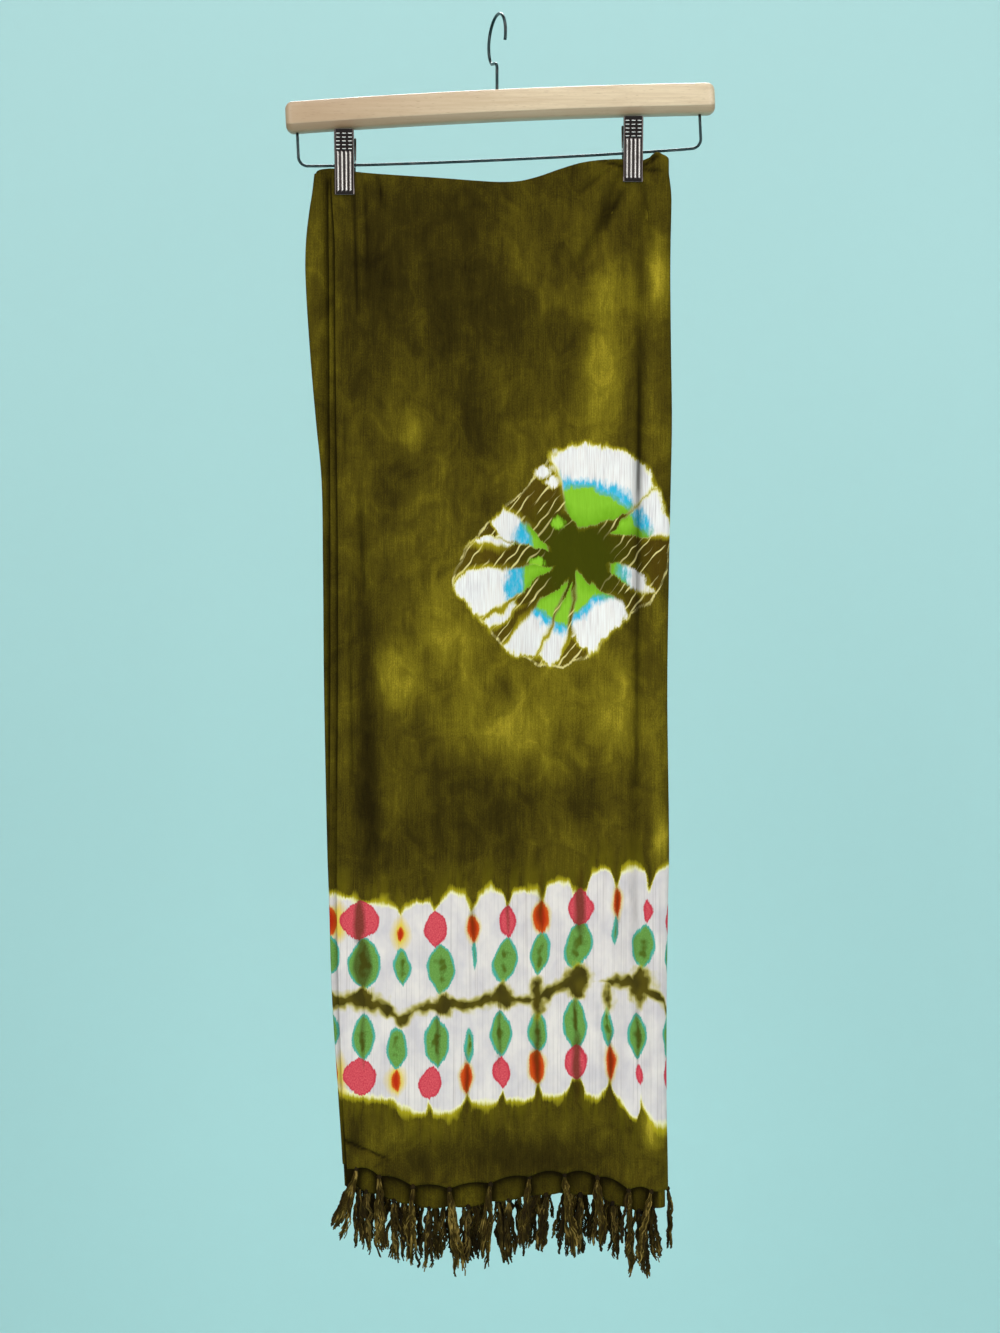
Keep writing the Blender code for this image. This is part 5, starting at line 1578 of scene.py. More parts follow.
class Dye:
    """Lays the nodes of the dyed pattern. Places and distances are in millimetres."""

    def __init__(self, board, settings):
        self.board = board
        self.settings = settings
        flat = board.node("ShaderNodeUVMap", uv_map="cloth").outputs[0]
        self.true_place = board.scaled(flat, 1 / MM)
        coarse = board.wired("ShaderNodeTexNoise", {
            "Vector": board.vector("MULTIPLY", self.true_place, (0.085, 0.05, 1.0)), "Scale": 1.0,
            "Detail": 1.0,
        })
        drift = board.vector("MULTIPLY_ADD", coarse.outputs["Color"], (6.0, 6.0, 0.0), (-3.0, -3.0, 0.0))
        threads = board.streaks(self.true_place, (1.1, 0.035, 1.0), 2.0, 0.6)
        pull = board.fit(threads, 5.6, -2.8)
        feather = board.streaks(self.true_place, (1.1, 0.7, 1.0), 2.0)
        small = board.fit(feather, 1.6, -0.8)
        moved = board.vector("ADD", self.true_place, drift)
        self.drift = drift
        self.calm = moved
        self.place = board.vector("ADD", moved, board.joined(small, pull))
        parts = board.node("ShaderNodeSeparateXYZ", self.place)
        self.x, self.z = parts.outputs[0], parts.outputs[1]
        self.leaning = {0.0: self.place}
        self.threads = threads
        self.feather = feather

    def lean_place(self, ratio):
        """The place, sheared so that a leaning spot stands upright in it, and the shear."""
        ratio = round(ratio, 2)
        if ratio not in self.leaning:
            shift = self.board.times(self.z, -ratio)
            self.leaning[ratio] = self.board.vector(
                "ADD", self.place, self.board.joined(shift, 0.0)
            )
        return self.leaning[ratio], ratio

    def spots(self, rows):
        """Nearest of these pointed spots: its edge's distance, and how near its middle is."""
        board = self.board
        nearest, middle = None, None
        for row in rows:
            place, ratio = self.lean_place(row.lean / row.height)
            half = (row.width / 2, row.height / 2)
            size = (1 / half[0], 1 / half[1], 0.0)
            start = (-(row.x - ratio * row.z) / half[0], -row.z / half[1], 0.0)
            offset = board.vector("ABSOLUTE", board.vector("MULTIPLY_ADD", place, size, start))
            weight = board.vector("MULTIPLY_ADD", offset, (0.15, 1.0, 0.0), (0.85, 0.0, 0.0))
            form = board.vector("DOT_PRODUCT", offset, weight)
            steep = 0.62 * min(half)
            edge = board.fit(form, steep, -steep)
            nearest = edge if nearest is None else board.least(nearest, edge)
            middle = form if middle is None else board.least(middle, form)
        return nearest, middle

    def ground(self):
        """Olive cloth: large mottle, vertical streaks, single threads, and known patches, which are
        partly dye and partly painted light and shade.
        """
        board, place = self.board, self.true_place
        broad = board.streaks(place, (0.016, 0.011, 1.0), 3.0, 0.55, 0.4)
        level = board.fit(broad, 0.64, 0.11)
        streak = board.streaks(place, (0.085, 0.012, 1.0), 3.0, 0.6)
        level = board.plus(level, board.fit(streak, 0.26, -0.13))
        cloud = board.streaks(place, (0.050, 0.036, 1.0), 4.0, 0.62, 0.9)
        level = board.plus(level, board.fit(cloud, 0.52, -0.26))
        # Patches that are partly dye and partly painted light and shade.
        for row in PATCHES:
            size = (2 / row.width, 2 / row.height, 0.0)
            start = (-2 * row.x / row.width, -2 * row.z / row.height, 0.0)
            far = board.vector("LENGTH", board.vector("MULTIPLY_ADD", place, size, start))
            lift = board.remap(far, 0.1, 1.15, row.lift, 0.0, smooth=True)
            level = board.plus(level, lift)
        fine = board.fit(self.threads, 0.28, -0.14)
        level = board.plus(level, fine)
        grain = board.fit(self.feather, 0.34, -0.17)
        level = board.plus(level, grain)
        given = self.settings
        stops = [
            (0.08, given.ground_deep),
            (0.30, given.ground_dark),
            (0.50, given.ground_mid),
            (0.72, given.ground_light),
            (0.98, given.ground_bright),
        ]
        return board.ramp(level, stops)

    def white(self):
        """Undyed cloth with a lilac cast and fine grey lines along the warp."""
        board, given = self.board, self.settings
        lines = board.streaks(self.true_place, (0.9, 0.006, 1.0), 2.0, 0.7)
        cast = board.streaks(self.true_place, (0.05, 0.03, 1.0), 3.0, 0.6)
        base = board.mix(board.remap(cast, 0.35, 0.65), given.undyed_warm, given.undyed_cool)
        return board.mix(board.remap(lines, 0.52, 0.78, 0.0, 0.75), base, given.undyed_line)

    def edge_ramp(self, inside, ground, white):
        """From the ground through yellow to undyed cloth, with dark runs above and below the edge."""
        board, given = self.board, self.settings
        runs = board.streaks(self.calm, (0.13, 0.012, 1.0), 3.0, 0.6)
        near = board.times(board.remap(inside, -30.0, -4.0), board.remap(runs, 0.44, 0.58))
        dark = board.mix(board.times(near, 0.75), ground, given.bleed_dark)
        patchy = board.streaks(self.calm, (0.07, 0.03, 1.0), 2.0)
        soft = board.times(inside, board.remap(patchy, 0.36, 0.62, 0.42, 1.25))
        glow = board.mix(board.remap(soft, -4.6, -0.4, 0.0, 0.92), dark, given.bleed_yellow)
        cream = board.mix(board.remap(soft, -1.2, 0.9), glow, given.bleed_cream)
        return board.mix(board.remap(soft, 0.1, 2.4), cream, white)

    def band(self, ground, white):
        """The wide undyed band with its rows of spots."""
        board, given = self.board, self.settings
        top = board.curve(self.x, BAND_TOP, *BAND_SPAN)
        low = board.curve(self.x, BAND_BOTTOM, *BAND_SPAN)
        inside = board.least(board.minus(top, self.z), board.minus(self.z, low))
        shade = self.edge_ramp(inside, ground, white)
        colours = {dye: self.spots(rows) for dye, rows in SPOTS.items()}
        halo = board.remap(colours["orange"][0], 2.2, 0.3, 0.0, 0.60)
        shade = board.mix(halo, shade, given.halo)
        mottle = board.remap(self.feather, 0.3, 0.7)
        ragged = board.streaks(self.calm, (0.15, 0.12, 1.0), 1.0)
        wide, _ = self.spots(HALOS)
        shade = board.mix(board.remap(wide, 2.5, -2.5, 0.0, 0.9), shade, given.halo)
        edge, core = colours["green"]
        leaf = board.mix(mottle, given.green_dark, given.green)
        run = board.fit(ragged, 1.5, -0.62)
        core = board.plus(core, run)
        leaf = board.mix(board.remap(core, 0.46, 0.12, 0.0, 0.80), leaf, given.green_core)
        leaf = board.mix(board.remap(edge, -1.6, -0.7), leaf, given.teal)
        shade = board.mix(board.remap(edge, 0.35, -0.25), shade, leaf)
        edge, core = colours["orange"]
        rust = board.mix(board.remap(core, 0.9, 0.3), given.orange, given.rust)
        shade = board.mix(board.remap(edge, 0.5, -0.5), shade, rust)
        edge, core = colours["pink"]
        rose = board.mix(mottle, given.pink_dark, given.pink)
        rose = board.mix(board.remap(edge, -1.6, -0.6), rose, given.pink_dark)
        shade = board.mix(board.remap(edge, 0.35, -0.35), shade, rose)
        calm = board.node("ShaderNodeSeparateXYZ", self.calm)
        line = board.curve(calm.outputs[0], [(row.x, row.z) for row in MID_LINE], *BAND_SPAN)
        half = board.curve(calm.outputs[0], [(row.x, row.half) for row in MID_LINE], *BAND_SPAN)
        far = board.size_of(board.minus(calm.outputs[1], line))
        far = board.minus(far, half)
        far = board.least(far, colours["olive"][0])
        far = board.plus(far, board.fit(ragged, 8.0, -4.6))
        patchy = board.streaks(self.calm, (0.085, 0.05, 1.0), 1.0)
        far = board.plus(far, board.fit(patchy, 8.0, -4.2))
        shade = board.mix(board.remap(far, 4.4, 0.2, 0.0, 0.85), shade, given.bleed_yellow)
        stem = board.mix(board.remap(patchy, 0.36, 0.62), given.ground_dark, given.ground_mid)
        return board.mix(board.remap(far, 1.8, -1.8, 0.0, 0.97), shade, stem)

    def ring(self, ground, white):
        """The tied ring: petals of undyed, blue and lime cloth round a dark star."""
        board, given = self.board, self.settings
        white = board.mix(board.remap(self.threads, 0.34, 0.62, 0.12, 0.88), white, given.undyed_bright)
        x, z = RING_CENTRE
        offset = board.vector("MULTIPLY_ADD", self.drift, (0.8, 0.8, 0.0), self.place)
        offset = board.vector("ADD", offset, (-x, -z, 0.0))
        parts = board.node("ShaderNodeSeparateXYZ", offset)
        turn = board.math("ARCTAN2", parts.outputs[1], parts.outputs[0])
        angle = board.times(turn, 180 / math.pi)
        reach = board.vector("LENGTH", offset)
        rays = sorted(ray for petal in PETALS for ray in petal)
        frayed = board.streaks(self.true_place, (0.32, 0.11, 1.0), 3.0, 0.6)
        fray = board.fit(frayed, 14.0, -7.0)
        tables = [[(ray.angle, getattr(ray, part)) for ray in rays] for part in Ray._fields[1:]]
        star, lime, blue, white_end = (board.curve(angle, table, *TURN) for table in tables)
        rim = board.curve(angle, RING_RIM, *TURN)
        halves = []
        ends = sorted((petal[0].angle, petal[-1].angle) for petal in PETALS)
        marks = []
        for low, high in ends:
            marks += [(low, 0.0), ((low + high) / 2, (high - low) / 2), (high, 0.0)]
        for (_, low), (high, _) in zip(ends, ends[1:]):
            marks.append(((low + high) / 2, (low - high) / 2))
        marks += [(-180.0, -6.0), (180.0, -6.0)]
        marks.sort()
        for low, high in ((-180.0, 0.0), (0.0, 180.0)):
            part = [mark for mark in marks if low <= mark[0] <= high]
            zero = next(
                a[1] + (b[1] - a[1]) * (0.0 - a[0]) / (b[0] - a[0])
                for a, b in zip(marks, marks[1:])
                if a[0] <= 0.0 <= b[0]
            )
            part.append((0.0, zero))
            part.sort()
            halves.append(board.curve(angle, part, low, high))
        right_way = board.math("GREATER_THAN", angle, 0.0)
        apart = board.minus(halves[1], halves[0])
        room = board.fit(right_way, apart, halves[0])
        room = board.times(board.times(room, reach), math.pi / 180)
        short = board.minus(white_end, reach)
        outer = board.plus(short, board.times(fray, 0.6))
        inside = board.least(room, outer)
        within = board.minus(reach, star)
        within = board.plus(within, board.times(fray, 0.3))
        inside = board.least(inside, within)

        past_lime = board.fit(fray, 0.5, board.minus(reach, lime))
        past_blue = board.fit(fray, 0.9, board.minus(reach, blue))
        watery = board.mix(board.remap(frayed, 0.44, 0.66, 0.0, 0.25), given.blue, white)
        leaf = board.mix(board.remap(self.threads, 0.38, 0.70, 0.0, 0.42), given.lime, given.lime_dark)
        petal = board.mix(board.remap(past_lime, -1.8, 1.6), leaf, watery)
        seam = board.remap(board.size_of(past_lime), 1.6, 0.3, 0.0, 0.6)
        petal = board.mix(seam, petal, given.teal)
        near_lime = board.remap(board.fit(fray, 0.8, within), 0.0, 17.0)
        petal = board.mix(near_lime, given.lime_dark, petal)
        petal = board.mix(board.remap(past_blue, -4.0, -0.6, 0.0, 0.45), petal, white)
        petal = board.mix(board.remap(past_blue, -1.8, 2.4), petal, white)

        way = board.wired("ShaderNodeVectorRotate", {
            "Vector": self.calm, "Angle": -CRACK_LEAN,
        }, rotation_type="Z_AXIS")
        lie = way.outputs[0]
        swerve = board.streaks(lie, (0.024, 0.05, 1.0), 2.0)
        across = board.node("ShaderNodeSeparateXYZ", lie).outputs[1]
        lines = board.fit(swerve, 1.5, board.times(across, 1 / CRACK_PITCH))
        off = board.size_of(board.minus(board.math("FRACT", lines), 0.5))
        broken = board.streaks(lie, (0.030, 0.20, 1.0), 2.0)
        crack = board.times(board.remap(off, 0.130, 0.050), board.remap(broken, 0.46, 0.52))
        edge = board.minus(rim, reach)
        crack = board.times(crack, board.remap(edge, 0.0, 2.0))
        crack = board.times(crack, board.remap(reach, 26.0, 46.0, 0.0, 0.95))
        outline_near = board.remap(board.size_of(edge), 1.5, 0.5)
        ring_line = board.times(outline_near, board.remap(broken, 0.44, 0.56, 0.15, 0.9))
        crack = board.math("MAXIMUM", crack, ring_line)
        bound = board.mix(board.remap(edge, -1.0, 2.0, 0.0, 0.62), ground, given.bound)
        heart = board.remap(reach, 62.0, 24.0, 0.0, 0.85)
        bound = board.mix(heart, bound, given.star)
        bound = board.mix(board.times(crack, 0.9), bound, given.crack)

        kinds = (("white", white, given.bleed_yellow), ("lime", given.lime, given.lime_dark))
        for dye, colour, rim_colour in kinds:
            blot, _ = self.spots(BLOTS[dye])
            blot = board.fit(fray, 0.55, blot)
            bound = board.mix(board.remap(blot, 2.4, 0.2, 0.0, 0.75), bound, rim_colour)
            bound = board.mix(board.remap(blot, 0.9, -1.2), bound, colour)
        outward = board.remap(reach, 54.0, 72.0, 0.15, 0.85)
        yellow = board.times(board.remap(inside, -5.0, -0.5), outward)
        bleed = board.mix(yellow, bound, given.bleed_yellow)
        cream = board.times(board.remap(inside, -1.4, -0.2), outward)
        bleed = board.mix(cream, bleed, given.bleed_cream)
        self.in_ring = board.remap(board.minus(reach, rim), 6.0, 1.5)
        return board.mix(board.remap(inside, -0.9, 1.2), bleed, petal)


def cloth_material(settings):
    """Fine rayon dyed by tying: the pattern, painted shade in its creases, beside its edges and under
    its hem, and a plain weave in relief.
    """
    made, board, shader = blank_material("resist-dyed rayon")
    dye = Dye(board, settings)
    ground = dye.ground()
    white = dye.white()
    ring = dye.ring(ground, white)
    band = dye.band(ground, white)
    which = board.remap(dye.z, *RING_TO_BAND)
    shade = board.mix(dye.in_ring, ground, ring)
    shade = board.mix(which, shade, band)
    stain, _ = dye.spots(STAINS)
    depth = board.remap(stain, 1.2, -1.4, 0.0, 0.72)
    shade = board.mix(depth, shade, settings.stain)
    # Painted shade in the creases, beside the layers' edges and under the hem, made weaker on the undyed
    # band.
    groove = board.attribute("groove")
    banded = board.times(which, board.remap(dye.z, -928.0, -916.0))
    groove = board.times(groove, board.fit(banded, -0.56, 0.86))
    shade = board.mix(groove, shade, settings.groove)
    parts = board.node("ShaderNodeSeparateXYZ", dye.true_place)
    pitch = 2 * math.pi / settings.weave
    warp = board.math("SINE", board.times(parts.outputs[0], pitch * MM))
    weft = board.math("SINE", board.times(parts.outputs[1], pitch * MM))
    weave = board.times(warp, weft)
    slub = board.streaks(dye.true_place, (1.4, 0.03, 1.0), 2.0)
    creased = board.streaks(dye.true_place, (0.16, 0.035, 1.0), 4.0, 0.6)
    height = board.fit(slub, 1.4, board.times(weave, 0.35))
    height = board.fit(creased, 9.0, height)
    bumped(board, shader, height, 0.00011)
    board.feed_all(shader, {
        "Base Color": shade, "Roughness": board.remap(slub, 0.2, 0.8, 0.62, 0.80),
        "Specular IOR Level": 0.02,
    })
    return made


def colour_property(name, description, red, green, blue):
    """A colour that a user may change, given on a 0 to 255 screen scale."""
    return bpy.props.FloatVectorProperty(
        name=name,
        description=description,
        subtype="COLOR",
        size=4,
        min=0.0,
        max=1.0,
        default=srgb(red, green, blue),
    )


def length_property(name, description, default):
    """A length that a user may change."""
    return bpy.props.FloatProperty(
        name=name, description=description, default=default, unit="LENGTH"
    )


class ClothSettings(bpy.types.PropertyGroup):
    """Sizes and dyes of the cloth."""

    thickness: length_property("Thickness", "Thickness of one layer", 0.0006)
    ripple: length_property("Ripple", "Depth of the cloth's small waves", 0.0014)
    weave: length_property("Weave", "Distance between two threads", 0.00055)
    ground_deep: colour_property("Ground, deep", "Darkest part of the ground", 36, 29, 6)
    ground_dark: colour_property("Ground, dark", "Dark part of the ground", 56, 47, 10)
    ground_mid: colour_property("Ground, middle", "Main colour of the ground", 82, 71, 15)
    ground_light: colour_property("Ground, light", "Light part of the ground", 119, 106, 23)
    ground_bright: colour_property("Ground, bright", "Brightest part of the ground", 176, 157, 42)
    undyed_warm: colour_property("Undyed, warm", "Warm part of the undyed cloth", 231, 222, 216)
    undyed_cool: colour_property("Undyed, cool", "Cool part of the undyed cloth", 209, 201, 203)
    undyed_line: colour_property("Undyed, lines", "Fine grey lines along the warp", 176, 164, 162)
    undyed_bright: colour_property("Undyed, bright", "Clean undyed cloth in the ring", 246, 246, 243)
    bleed_dark: colour_property("Bleed, dark", "Ground just outside the undyed cloth", 96, 86, 12)
    bleed_yellow: colour_property("Bleed, yellow", "Yellow line round the undyed cloth", 190, 176, 34)
    bleed_cream: colour_property("Bleed, cream", "Cream line inside the yellow one", 240, 234, 176)
    pink: colour_property("Pink", "Pink spots", 222, 96, 102)
    pink_dark: colour_property("Pink, dark", "Rim of the pink spots", 198, 54, 72)
    orange: colour_property("Orange", "Edge of the orange spots", 206, 84, 26)
    rust: colour_property("Rust", "Middle of the orange spots", 184, 46, 18)
    halo: colour_property("Halo", "Yellow round the orange spots", 226, 196, 60)
    green: colour_property("Green", "Green spots", 116, 162, 80)
    green_dark: colour_property("Green, dark", "Darker part of the green spots", 94, 141, 61)
    green_core: colour_property("Green, core", "Streak down the green spots", 74, 84, 8)
    teal: colour_property("Teal", "Rim of the green spots", 76, 168, 152)
    stain: colour_property("Stain", "Olive that ran down over the spots", 62, 46, 10)
    blue: colour_property("Blue", "Blue of the ring", 52, 180, 216)
    lime: colour_property("Lime", "Lime of the ring", 139, 197, 50)
    lime_dark: colour_property("Lime, dark", "Lime next to the star", 112, 168, 30)
    star: colour_property("Star", "Dark star in the middle of the ring", 60, 66, 6)
    crack: colour_property("Cracks", "Cream lines in the bound cloth", 236, 222, 146)
    # Colour of the painted shade in creases, beside edges and under the hem.
    groove: colour_property("Grooves", "Shade in the deep folds", 16, 10, 2)
    bound: colour_property("Bound cloth", "Dark cloth between the ring's petals", 82, 64, 14)


class FringeSettings(bpy.types.PropertyGroup):
    """Sizes and colours of the fringe."""

    threads: bpy.props.IntProperty(
        name="Threads", description="Threads in one tassel of the front", default=42, min=8, max=60
    )
    lock_threads: bpy.props.IntProperty(
        name="Threads in a Lock", description="Threads that hang together", default=7, min=1, max=20
    )
    lock_radius: length_property("Lock Radius", "Half of a lock's thickness", 0.0010)
    curl: length_property("Curl", "How far a thread strays from its lock", 0.00046)
    thread: length_property("Thread", "Diameter of one thread", 0.00108)
    crinkle: length_property("Crinkle", "How far a lock wanders", 0.0023)
    splay: length_property("Splay", "How far a tassel opens to each side", 0.0054)
    knot: length_property("Knot", "Half of a knot's width", 0.0019)
    yarn_dark: colour_property("Yarn, dark", "Shaded threads", 19, 12, 2)
    yarn_brown: colour_property("Yarn, brown", "Brown threads", 49, 36, 7)
    yarn_olive: colour_property("Yarn, olive", "Olive threads", 70, 57, 10)
    # Partly worn light threads, partly painted highlight on the threads.
    yarn_light_and_highlight: colour_property("Yarn, light", "Worn light threads", 160, 134, 66)


class HangerSettings(bpy.types.PropertyGroup):
    """Finishes of the hanger."""

    bar_left: colour_property("Wood, left", "Wood at the left end", 188, 160, 130)
    bar_right: colour_property("Wood, right", "Wood at the right end", 226, 205, 173)
    bar_grain: colour_property("Wood, grain", "Growth lines", 176, 146, 112)
    bar_fleck: colour_property("Wood, flecks", "Short dark pores", 140, 104, 70)
    # Colour of the painted shade on the chamfer and underside of the bar.
    painted_bar_shade: colour_property("Wood, chamfer", "Darker chamfer under the bar", 128, 98, 66)
    steel: colour_property("Steel", "Bright plated clips", 240, 236, 232)
    # Colour of the painted dark reflection on the clips' level faces.
    painted_dark_reflection: colour_property("Flat Steel", "Level faces of the clips", 66, 56, 54)
    wire: colour_property("Wire", "Hook and swing wire", 52, 68, 70)
    steel_shadow: colour_property("Steel, dust", "Duller places on the steel", 120, 112, 110)
    coil: colour_property("Coil", "Spring wire of the clips", 96, 92, 90)


class StageSettings(bpy.types.PropertyGroup):
    """Backdrop, light and camera."""

    backdrop: colour_property("Backdrop", "Plain pale floor and wall", 190, 232, 232)
    beyond: colour_property("Beyond", "What shows past the backdrop", 169, 216, 215)
    light: bpy.props.FloatProperty(
        name="Light", description="Strength of the main light", default=24.0, min=0.0, unit="POWER"
    )
    lens: bpy.props.FloatProperty(
        name="Lens", description="Focal length of the camera", default=43.93, unit="CAMERA"
    )
    distance: length_property("Distance", "Camera to the hanger's middle", 1.357)


SETTINGS = {
    "sarong_cloth": ClothSettings,
    "sarong_fringe": FringeSettings,
    "sarong_hanger": HangerSettings,
    "sarong_stage": StageSettings,
}


def settings(name):
    """One group of settings of the scene."""
    return getattr(bpy.context.scene, name)


class AddCloth(bpy.types.Operator):
    """Add the folded cloth, as its outer and its inner wrap"""

    bl_idname = "sarong.add_cloth"
    bl_label = "Cloth"

    def execute(self, context):
        given = settings("sarong_cloth")
        dyed = cloth_material(given)
        outer = cloth_sheet("outer_wrap", outer_columns(), 158, 44, given, dyed)
        inner = cloth_sheet("inner_wrap", inner_columns(), 90, 90, given, dyed)
        for piece, node, width in ((outer, "cloth_outer", 0.60), (inner, "cloth_inner", 0.51)):
            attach(piece, "root")
            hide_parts(node)
        return {"FINISHED"}


class AddFringe(bpy.types.Operator):
    """Add the tassels under both ends of the cloth"""

    bl_idname = "sarong.add_fringe"
    bl_label = "Fringe"

    def execute(self, context):
        given = settings("sarong_fringe")
        bead = knot_mesh()
        # The under end's tassels get a painted lightness of 0.60, as a shaded copy of the front end's
        # yarn.
        rows = [
            ("front_end_tassels", 0.5, "fringe_front_end", 1.0, 5),
            ("under_end_tassels", -0.5, "fringe_under_end", 0.60, 11),
        ]
        for name, side, node, painted_lightness, seed in rows:
            yarn = yarn_material(name.replace("_", " ") + " yarn", given, painted_lightness)
            knots = hem_knots(side, given, random.Random(seed))
            piece = fringe_piece(name, knots, given, yarn, bead, seed)
            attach(piece, "root")
            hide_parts(node)
        bpy.data.objects.remove(bead, do_unlink=True)
        return {"FINISHED"}


class AddBar(bpy.types.Operator):
    """Add the hanger's wooden bar"""

    bl_idname = "sarong.add_bar"
    bl_label = "Wooden Bar"

    def execute(self, context):
        bar = build_bar(wood_material(settings("sarong_hanger")))
        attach(bar, "root")
        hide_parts("hanger_bar")
        return {"FINISHED"}


class AddWires(bpy.types.Operator):
    """Add the hook and the long swing wire"""

    bl_idname = "sarong.add_wires"
    bl_label = "Hook and Swing Wire"

    def execute(self, context):
        given = settings("sarong_hanger")
        bright = steel_material("bright wire", given.wire, 0.20, given)
        for piece, node in ((build_hook(bright), "hook"), (build_swing_wire(bright), "swing_wire")):
            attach(piece, "root")
            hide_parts(node)
        return {"FINISHED"}


class AddClips(bpy.types.Operator):
    """Add both clips, with their jaws and coils"""

    bl_idname = "sarong.add_clips"
    bl_label = "Clips"

    def execute(self, context):
        given = settings("sarong_hanger")
        plated = steel_material("plated clip steel", given.steel, 0.12, given)
        wound = steel_material("spring wire", given.coil, 0.30, given)
        ridges, coil = ridge_tree(), coil_tree()
        for side, clip_x in CLIP_X.items():
            build_clip(side, clip_x, plated, wound, ridges, coil)
        return {"FINISHED"}


# Metres from the origin over which the paper fades from the camera's view.
PAPER_FADE = (1.4, 3.2)


def backdrop_material(given):
    """Matt paper with a very faint tooth."""
    made, board, shader = blank_material("plain paper")
    place = board.node("ShaderNodeTexCoord").outputs["Object"]
    tooth = board.noise(place, 40.0, 3.0, 0.5)
    dimmed = tuple(channel * 0.985 for channel in given.backdrop[:3]) + (1.0,)
    board.feed_all(shader, {
        "Base Color": board.mix(tooth, dimmed, tuple(given.backdrop)), "Roughness": 0.92,
        "Specular IOR Level": 0.1,
    })
    flat = board.vector("MULTIPLY", place, (1.0, 1.0, 0.0))
    faded = board.remap(board.vector("LENGTH", flat), *PAPER_FADE, smooth=True)
    seen = board.node("ShaderNodeLightPath").outputs["Is Camera Ray"]
    behind = board.node("ShaderNodeNewGeometry").outputs["Backfacing"]
    hidden = board.math("MAXIMUM", behind, board.times(faded, seen))
    paper = board.node("ShaderNodeMixShader")
    board.feed(paper.inputs[0], hidden)
    board.feed(paper.inputs[1], shader.outputs[0])
    board.feed(paper.inputs[2], board.node("ShaderNodeBsdfTransparent").outputs[0])
    board.feed(made.node_tree.nodes["Material Output"].inputs["Surface"], paper.outputs[0])
    return made


def room_light(given):
    """Pale even light, which the camera sees as more of the same paper."""
    world = bpy.data.worlds.new("room light")
    world.use_nodes = True
    board = Board(world.node_tree)
    light = world.node_tree.nodes["Background"]
    light.inputs["Color"].default_value = (0.93, 0.96, 0.97, 1.0)
    light.inputs["Strength"].default_value = 0.20
    seen = board.wired("ShaderNodeBackground", {"Color": tuple(given.beyond)})
    both = board.node("ShaderNodeMixShader")
    board.feed(both.inputs[0], board.node("ShaderNodeLightPath").outputs["Is Camera Ray"])
    board.feed(both.inputs[1], light.outputs[0])
    board.feed(both.inputs[2], seen.outputs[0])
    board.feed(world.node_tree.nodes["World Output"].inputs["Surface"], both.outputs[0])
    return world


# Where each light stands, what it aims at, its size, its share of the main strength, its colour, and
# how far its light spreads, in degrees.
Lamp = namedtuple("Lamp", "name place aim size share colour spread", defaults=(180.0,))
LAMPS = [
    Lamp("left window", (-1.5, -1.7, 0.5), (0.0, 0.0, -0.5), (1.5, 1.9), 0.88, (1.0, 0.99, 0.96)),
    Lamp("right fill", (1.7, -1.5, 0.1), (0.0, 0.0, -0.6), (1.3, 1.8), 0.88, (1.0, 0.99, 0.97)),
    Lamp("paper light", (0.0, -0.7, 1.3), (0.0, 0.9, -0.6), (2.4, 1.0), 0.52, (1.0, 1.0, 1.0)),
    Lamp("low fill", (0.0, -1.9, -1.1), (0.0, 0.5, -0.9), (2.8, 0.9), 0.75, (1.0, 1.0, 1.0)),
    Lamp("back light", (0.0, 0.80, 0.85), (0.0, 0.0, -0.7), (2.2, 0.5), 0.26, (1.0, 1.0, 1.0), 54.0),
]
FLOOR_Z = -2.10
WALL_Y = 0.95
SWEEP_BEND = 0.55
CAMERA_X = 0.0025
CAMERA_Z = -0.542


def area_light(row, strength):
    """A soft rectangular light."""
    data = bpy.data.lights.new(row.name, "AREA")
    data.shape = "RECTANGLE"
    data.size, data.size_y = row.size
    data.energy = strength * row.share
    data.color = row.colour
    data.spread = math.radians(row.spread)
    lamp = bpy.data.objects.new(row.name, data)
    bpy.context.scene.collection.objects.link(lamp)
    lamp.location = row.place
    way = Vector(row.aim) - Vector(row.place)
    lamp.rotation_euler = way.to_track_quat("-Z", "Y").to_euler()


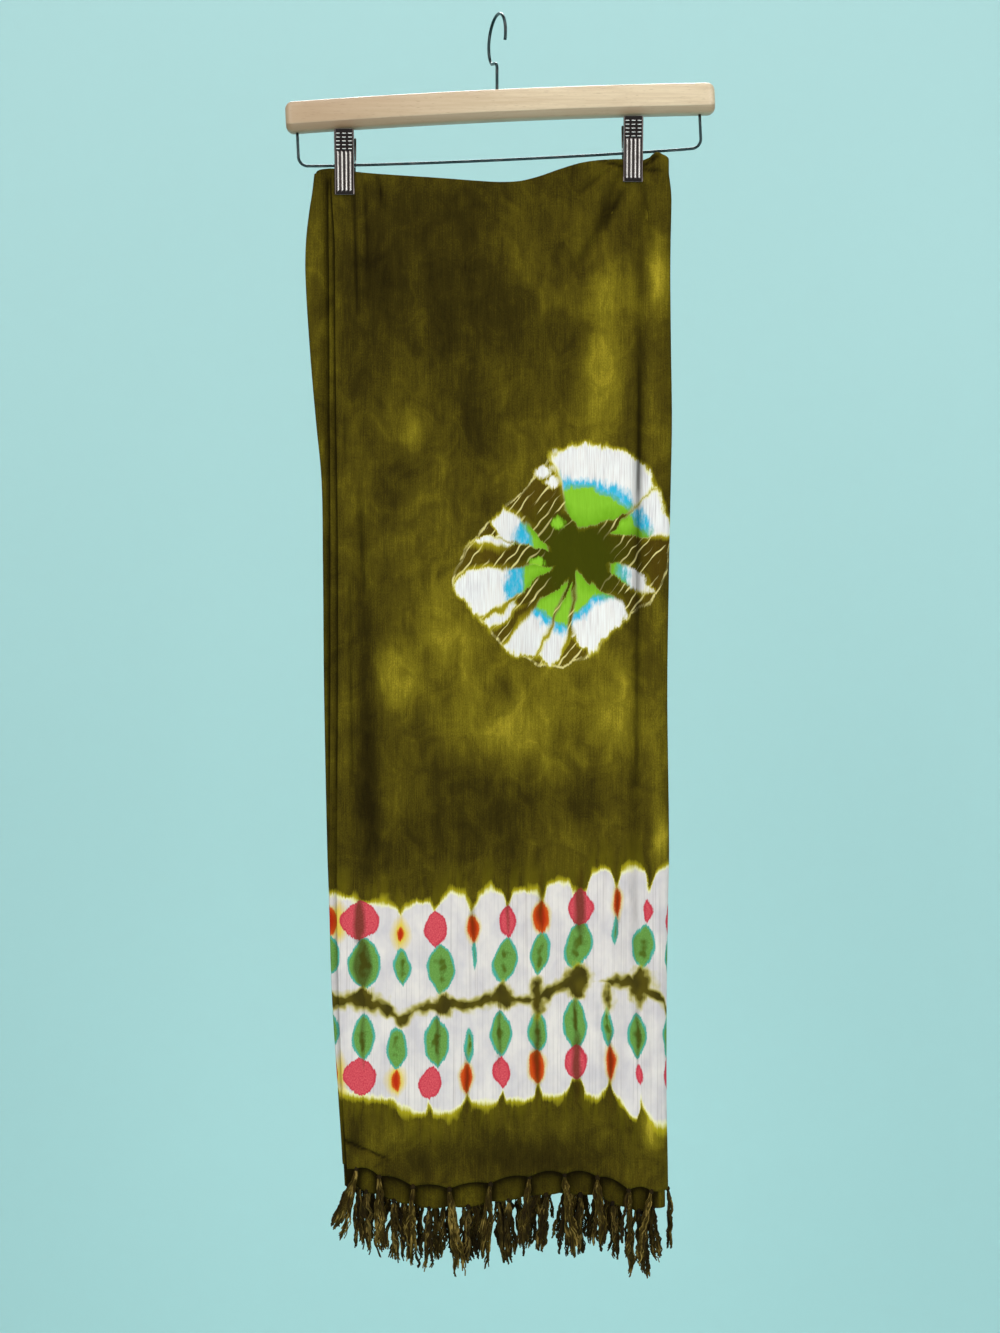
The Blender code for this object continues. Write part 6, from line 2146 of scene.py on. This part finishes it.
class AddStage(bpy.types.Operator):
    """Add the backdrop, the lights and the camera"""

    bl_idname = "sarong.add_stage"
    bl_label = "Stage"

    def execute(self, context):
        given = settings("sarong_stage")
        work = bmesh.new()
        profile = [(-7.0, FLOOR_Z), (-1.0, FLOOR_Z)]
        for k in range(17):
            angle = math.pi / 2 * k / 16
            y = WALL_Y - SWEEP_BEND + SWEEP_BEND * math.sin(angle)
            profile.append((y, FLOOR_Z + SWEEP_BEND - SWEEP_BEND * math.cos(angle)))
        profile += [(WALL_Y, 0.6), (WALL_Y, 2.4)]
        rows = [[work.verts.new((x, y, z)) for x in (-6.0, 6.0)] for y, z in profile]
        for low, high in zip(rows, rows[1:]):
            work.faces.new((low[0], low[1], high[1], high[0]))
        floor = object_of("paper_sweep", work)
        floor.data.materials.append(backdrop_material(given))
        for row in LAMPS:
            area_light(row, given.light)
        context.scene.world = room_light(given)
        context.scene.view_settings.view_transform = "Standard"
        data = bpy.data.cameras.new("camera")
        data.sensor_width = 36.0
        data.sensor_fit = "AUTO"
        data.lens = given.lens
        eye = bpy.data.objects.new("camera", data)
        context.scene.collection.objects.link(eye)
        eye.location = (CAMERA_X, -given.distance, CAMERA_Z)
        eye.rotation_euler = (math.pi / 2, 0.0, 0.0)
        context.scene.camera = eye
        return {"FINISHED"}


OPERATORS = (AddCloth, AddFringe, AddBar, AddWires, AddClips, AddStage)


class SarongPanel(bpy.types.Panel):
    """Buttons that add the pieces, and their settings"""

    bl_idname = "VIEW3D_PT_sarong"
    bl_label = "Sarong on a Clip Hanger"
    bl_space_type = "VIEW_3D"
    bl_region_type = "UI"
    bl_category = "Sarong"

    def draw(self, context):
        layout = self.layout
        for operator in OPERATORS:
            layout.operator(operator.bl_idname, text=operator.bl_label)
        for name, group in SETTINGS.items():
            box = layout.box()
            box.label(text=group.__doc__.rstrip("."))
            for field in group.__annotations__:
                box.prop(getattr(context.scene, name), field)


def register():
    """Adds the settings, the operators and the panel."""
    for name, group in SETTINGS.items():
        bpy.utils.register_class(group)
        setattr(bpy.types.Scene, name, bpy.props.PointerProperty(type=group))
    for part in (*OPERATORS, SarongPanel):
        bpy.utils.register_class(part)


def unregister():
    """Takes them away again."""
    for part in reversed((*OPERATORS, SarongPanel)):
        bpy.utils.unregister_class(part)
    for name, group in reversed(SETTINGS.items()):
        delattr(bpy.types.Scene, name)
        bpy.utils.unregister_class(group)


def main():
    """Builds the whole scene."""
    register()
    bpy.ops.sarong.add_cloth()
    bpy.ops.sarong.add_fringe()
    bpy.ops.sarong.add_bar()
    bpy.ops.sarong.add_wires()
    bpy.ops.sarong.add_clips()
    bpy.ops.sarong.add_stage()


if __name__ == "__main__":
    main()
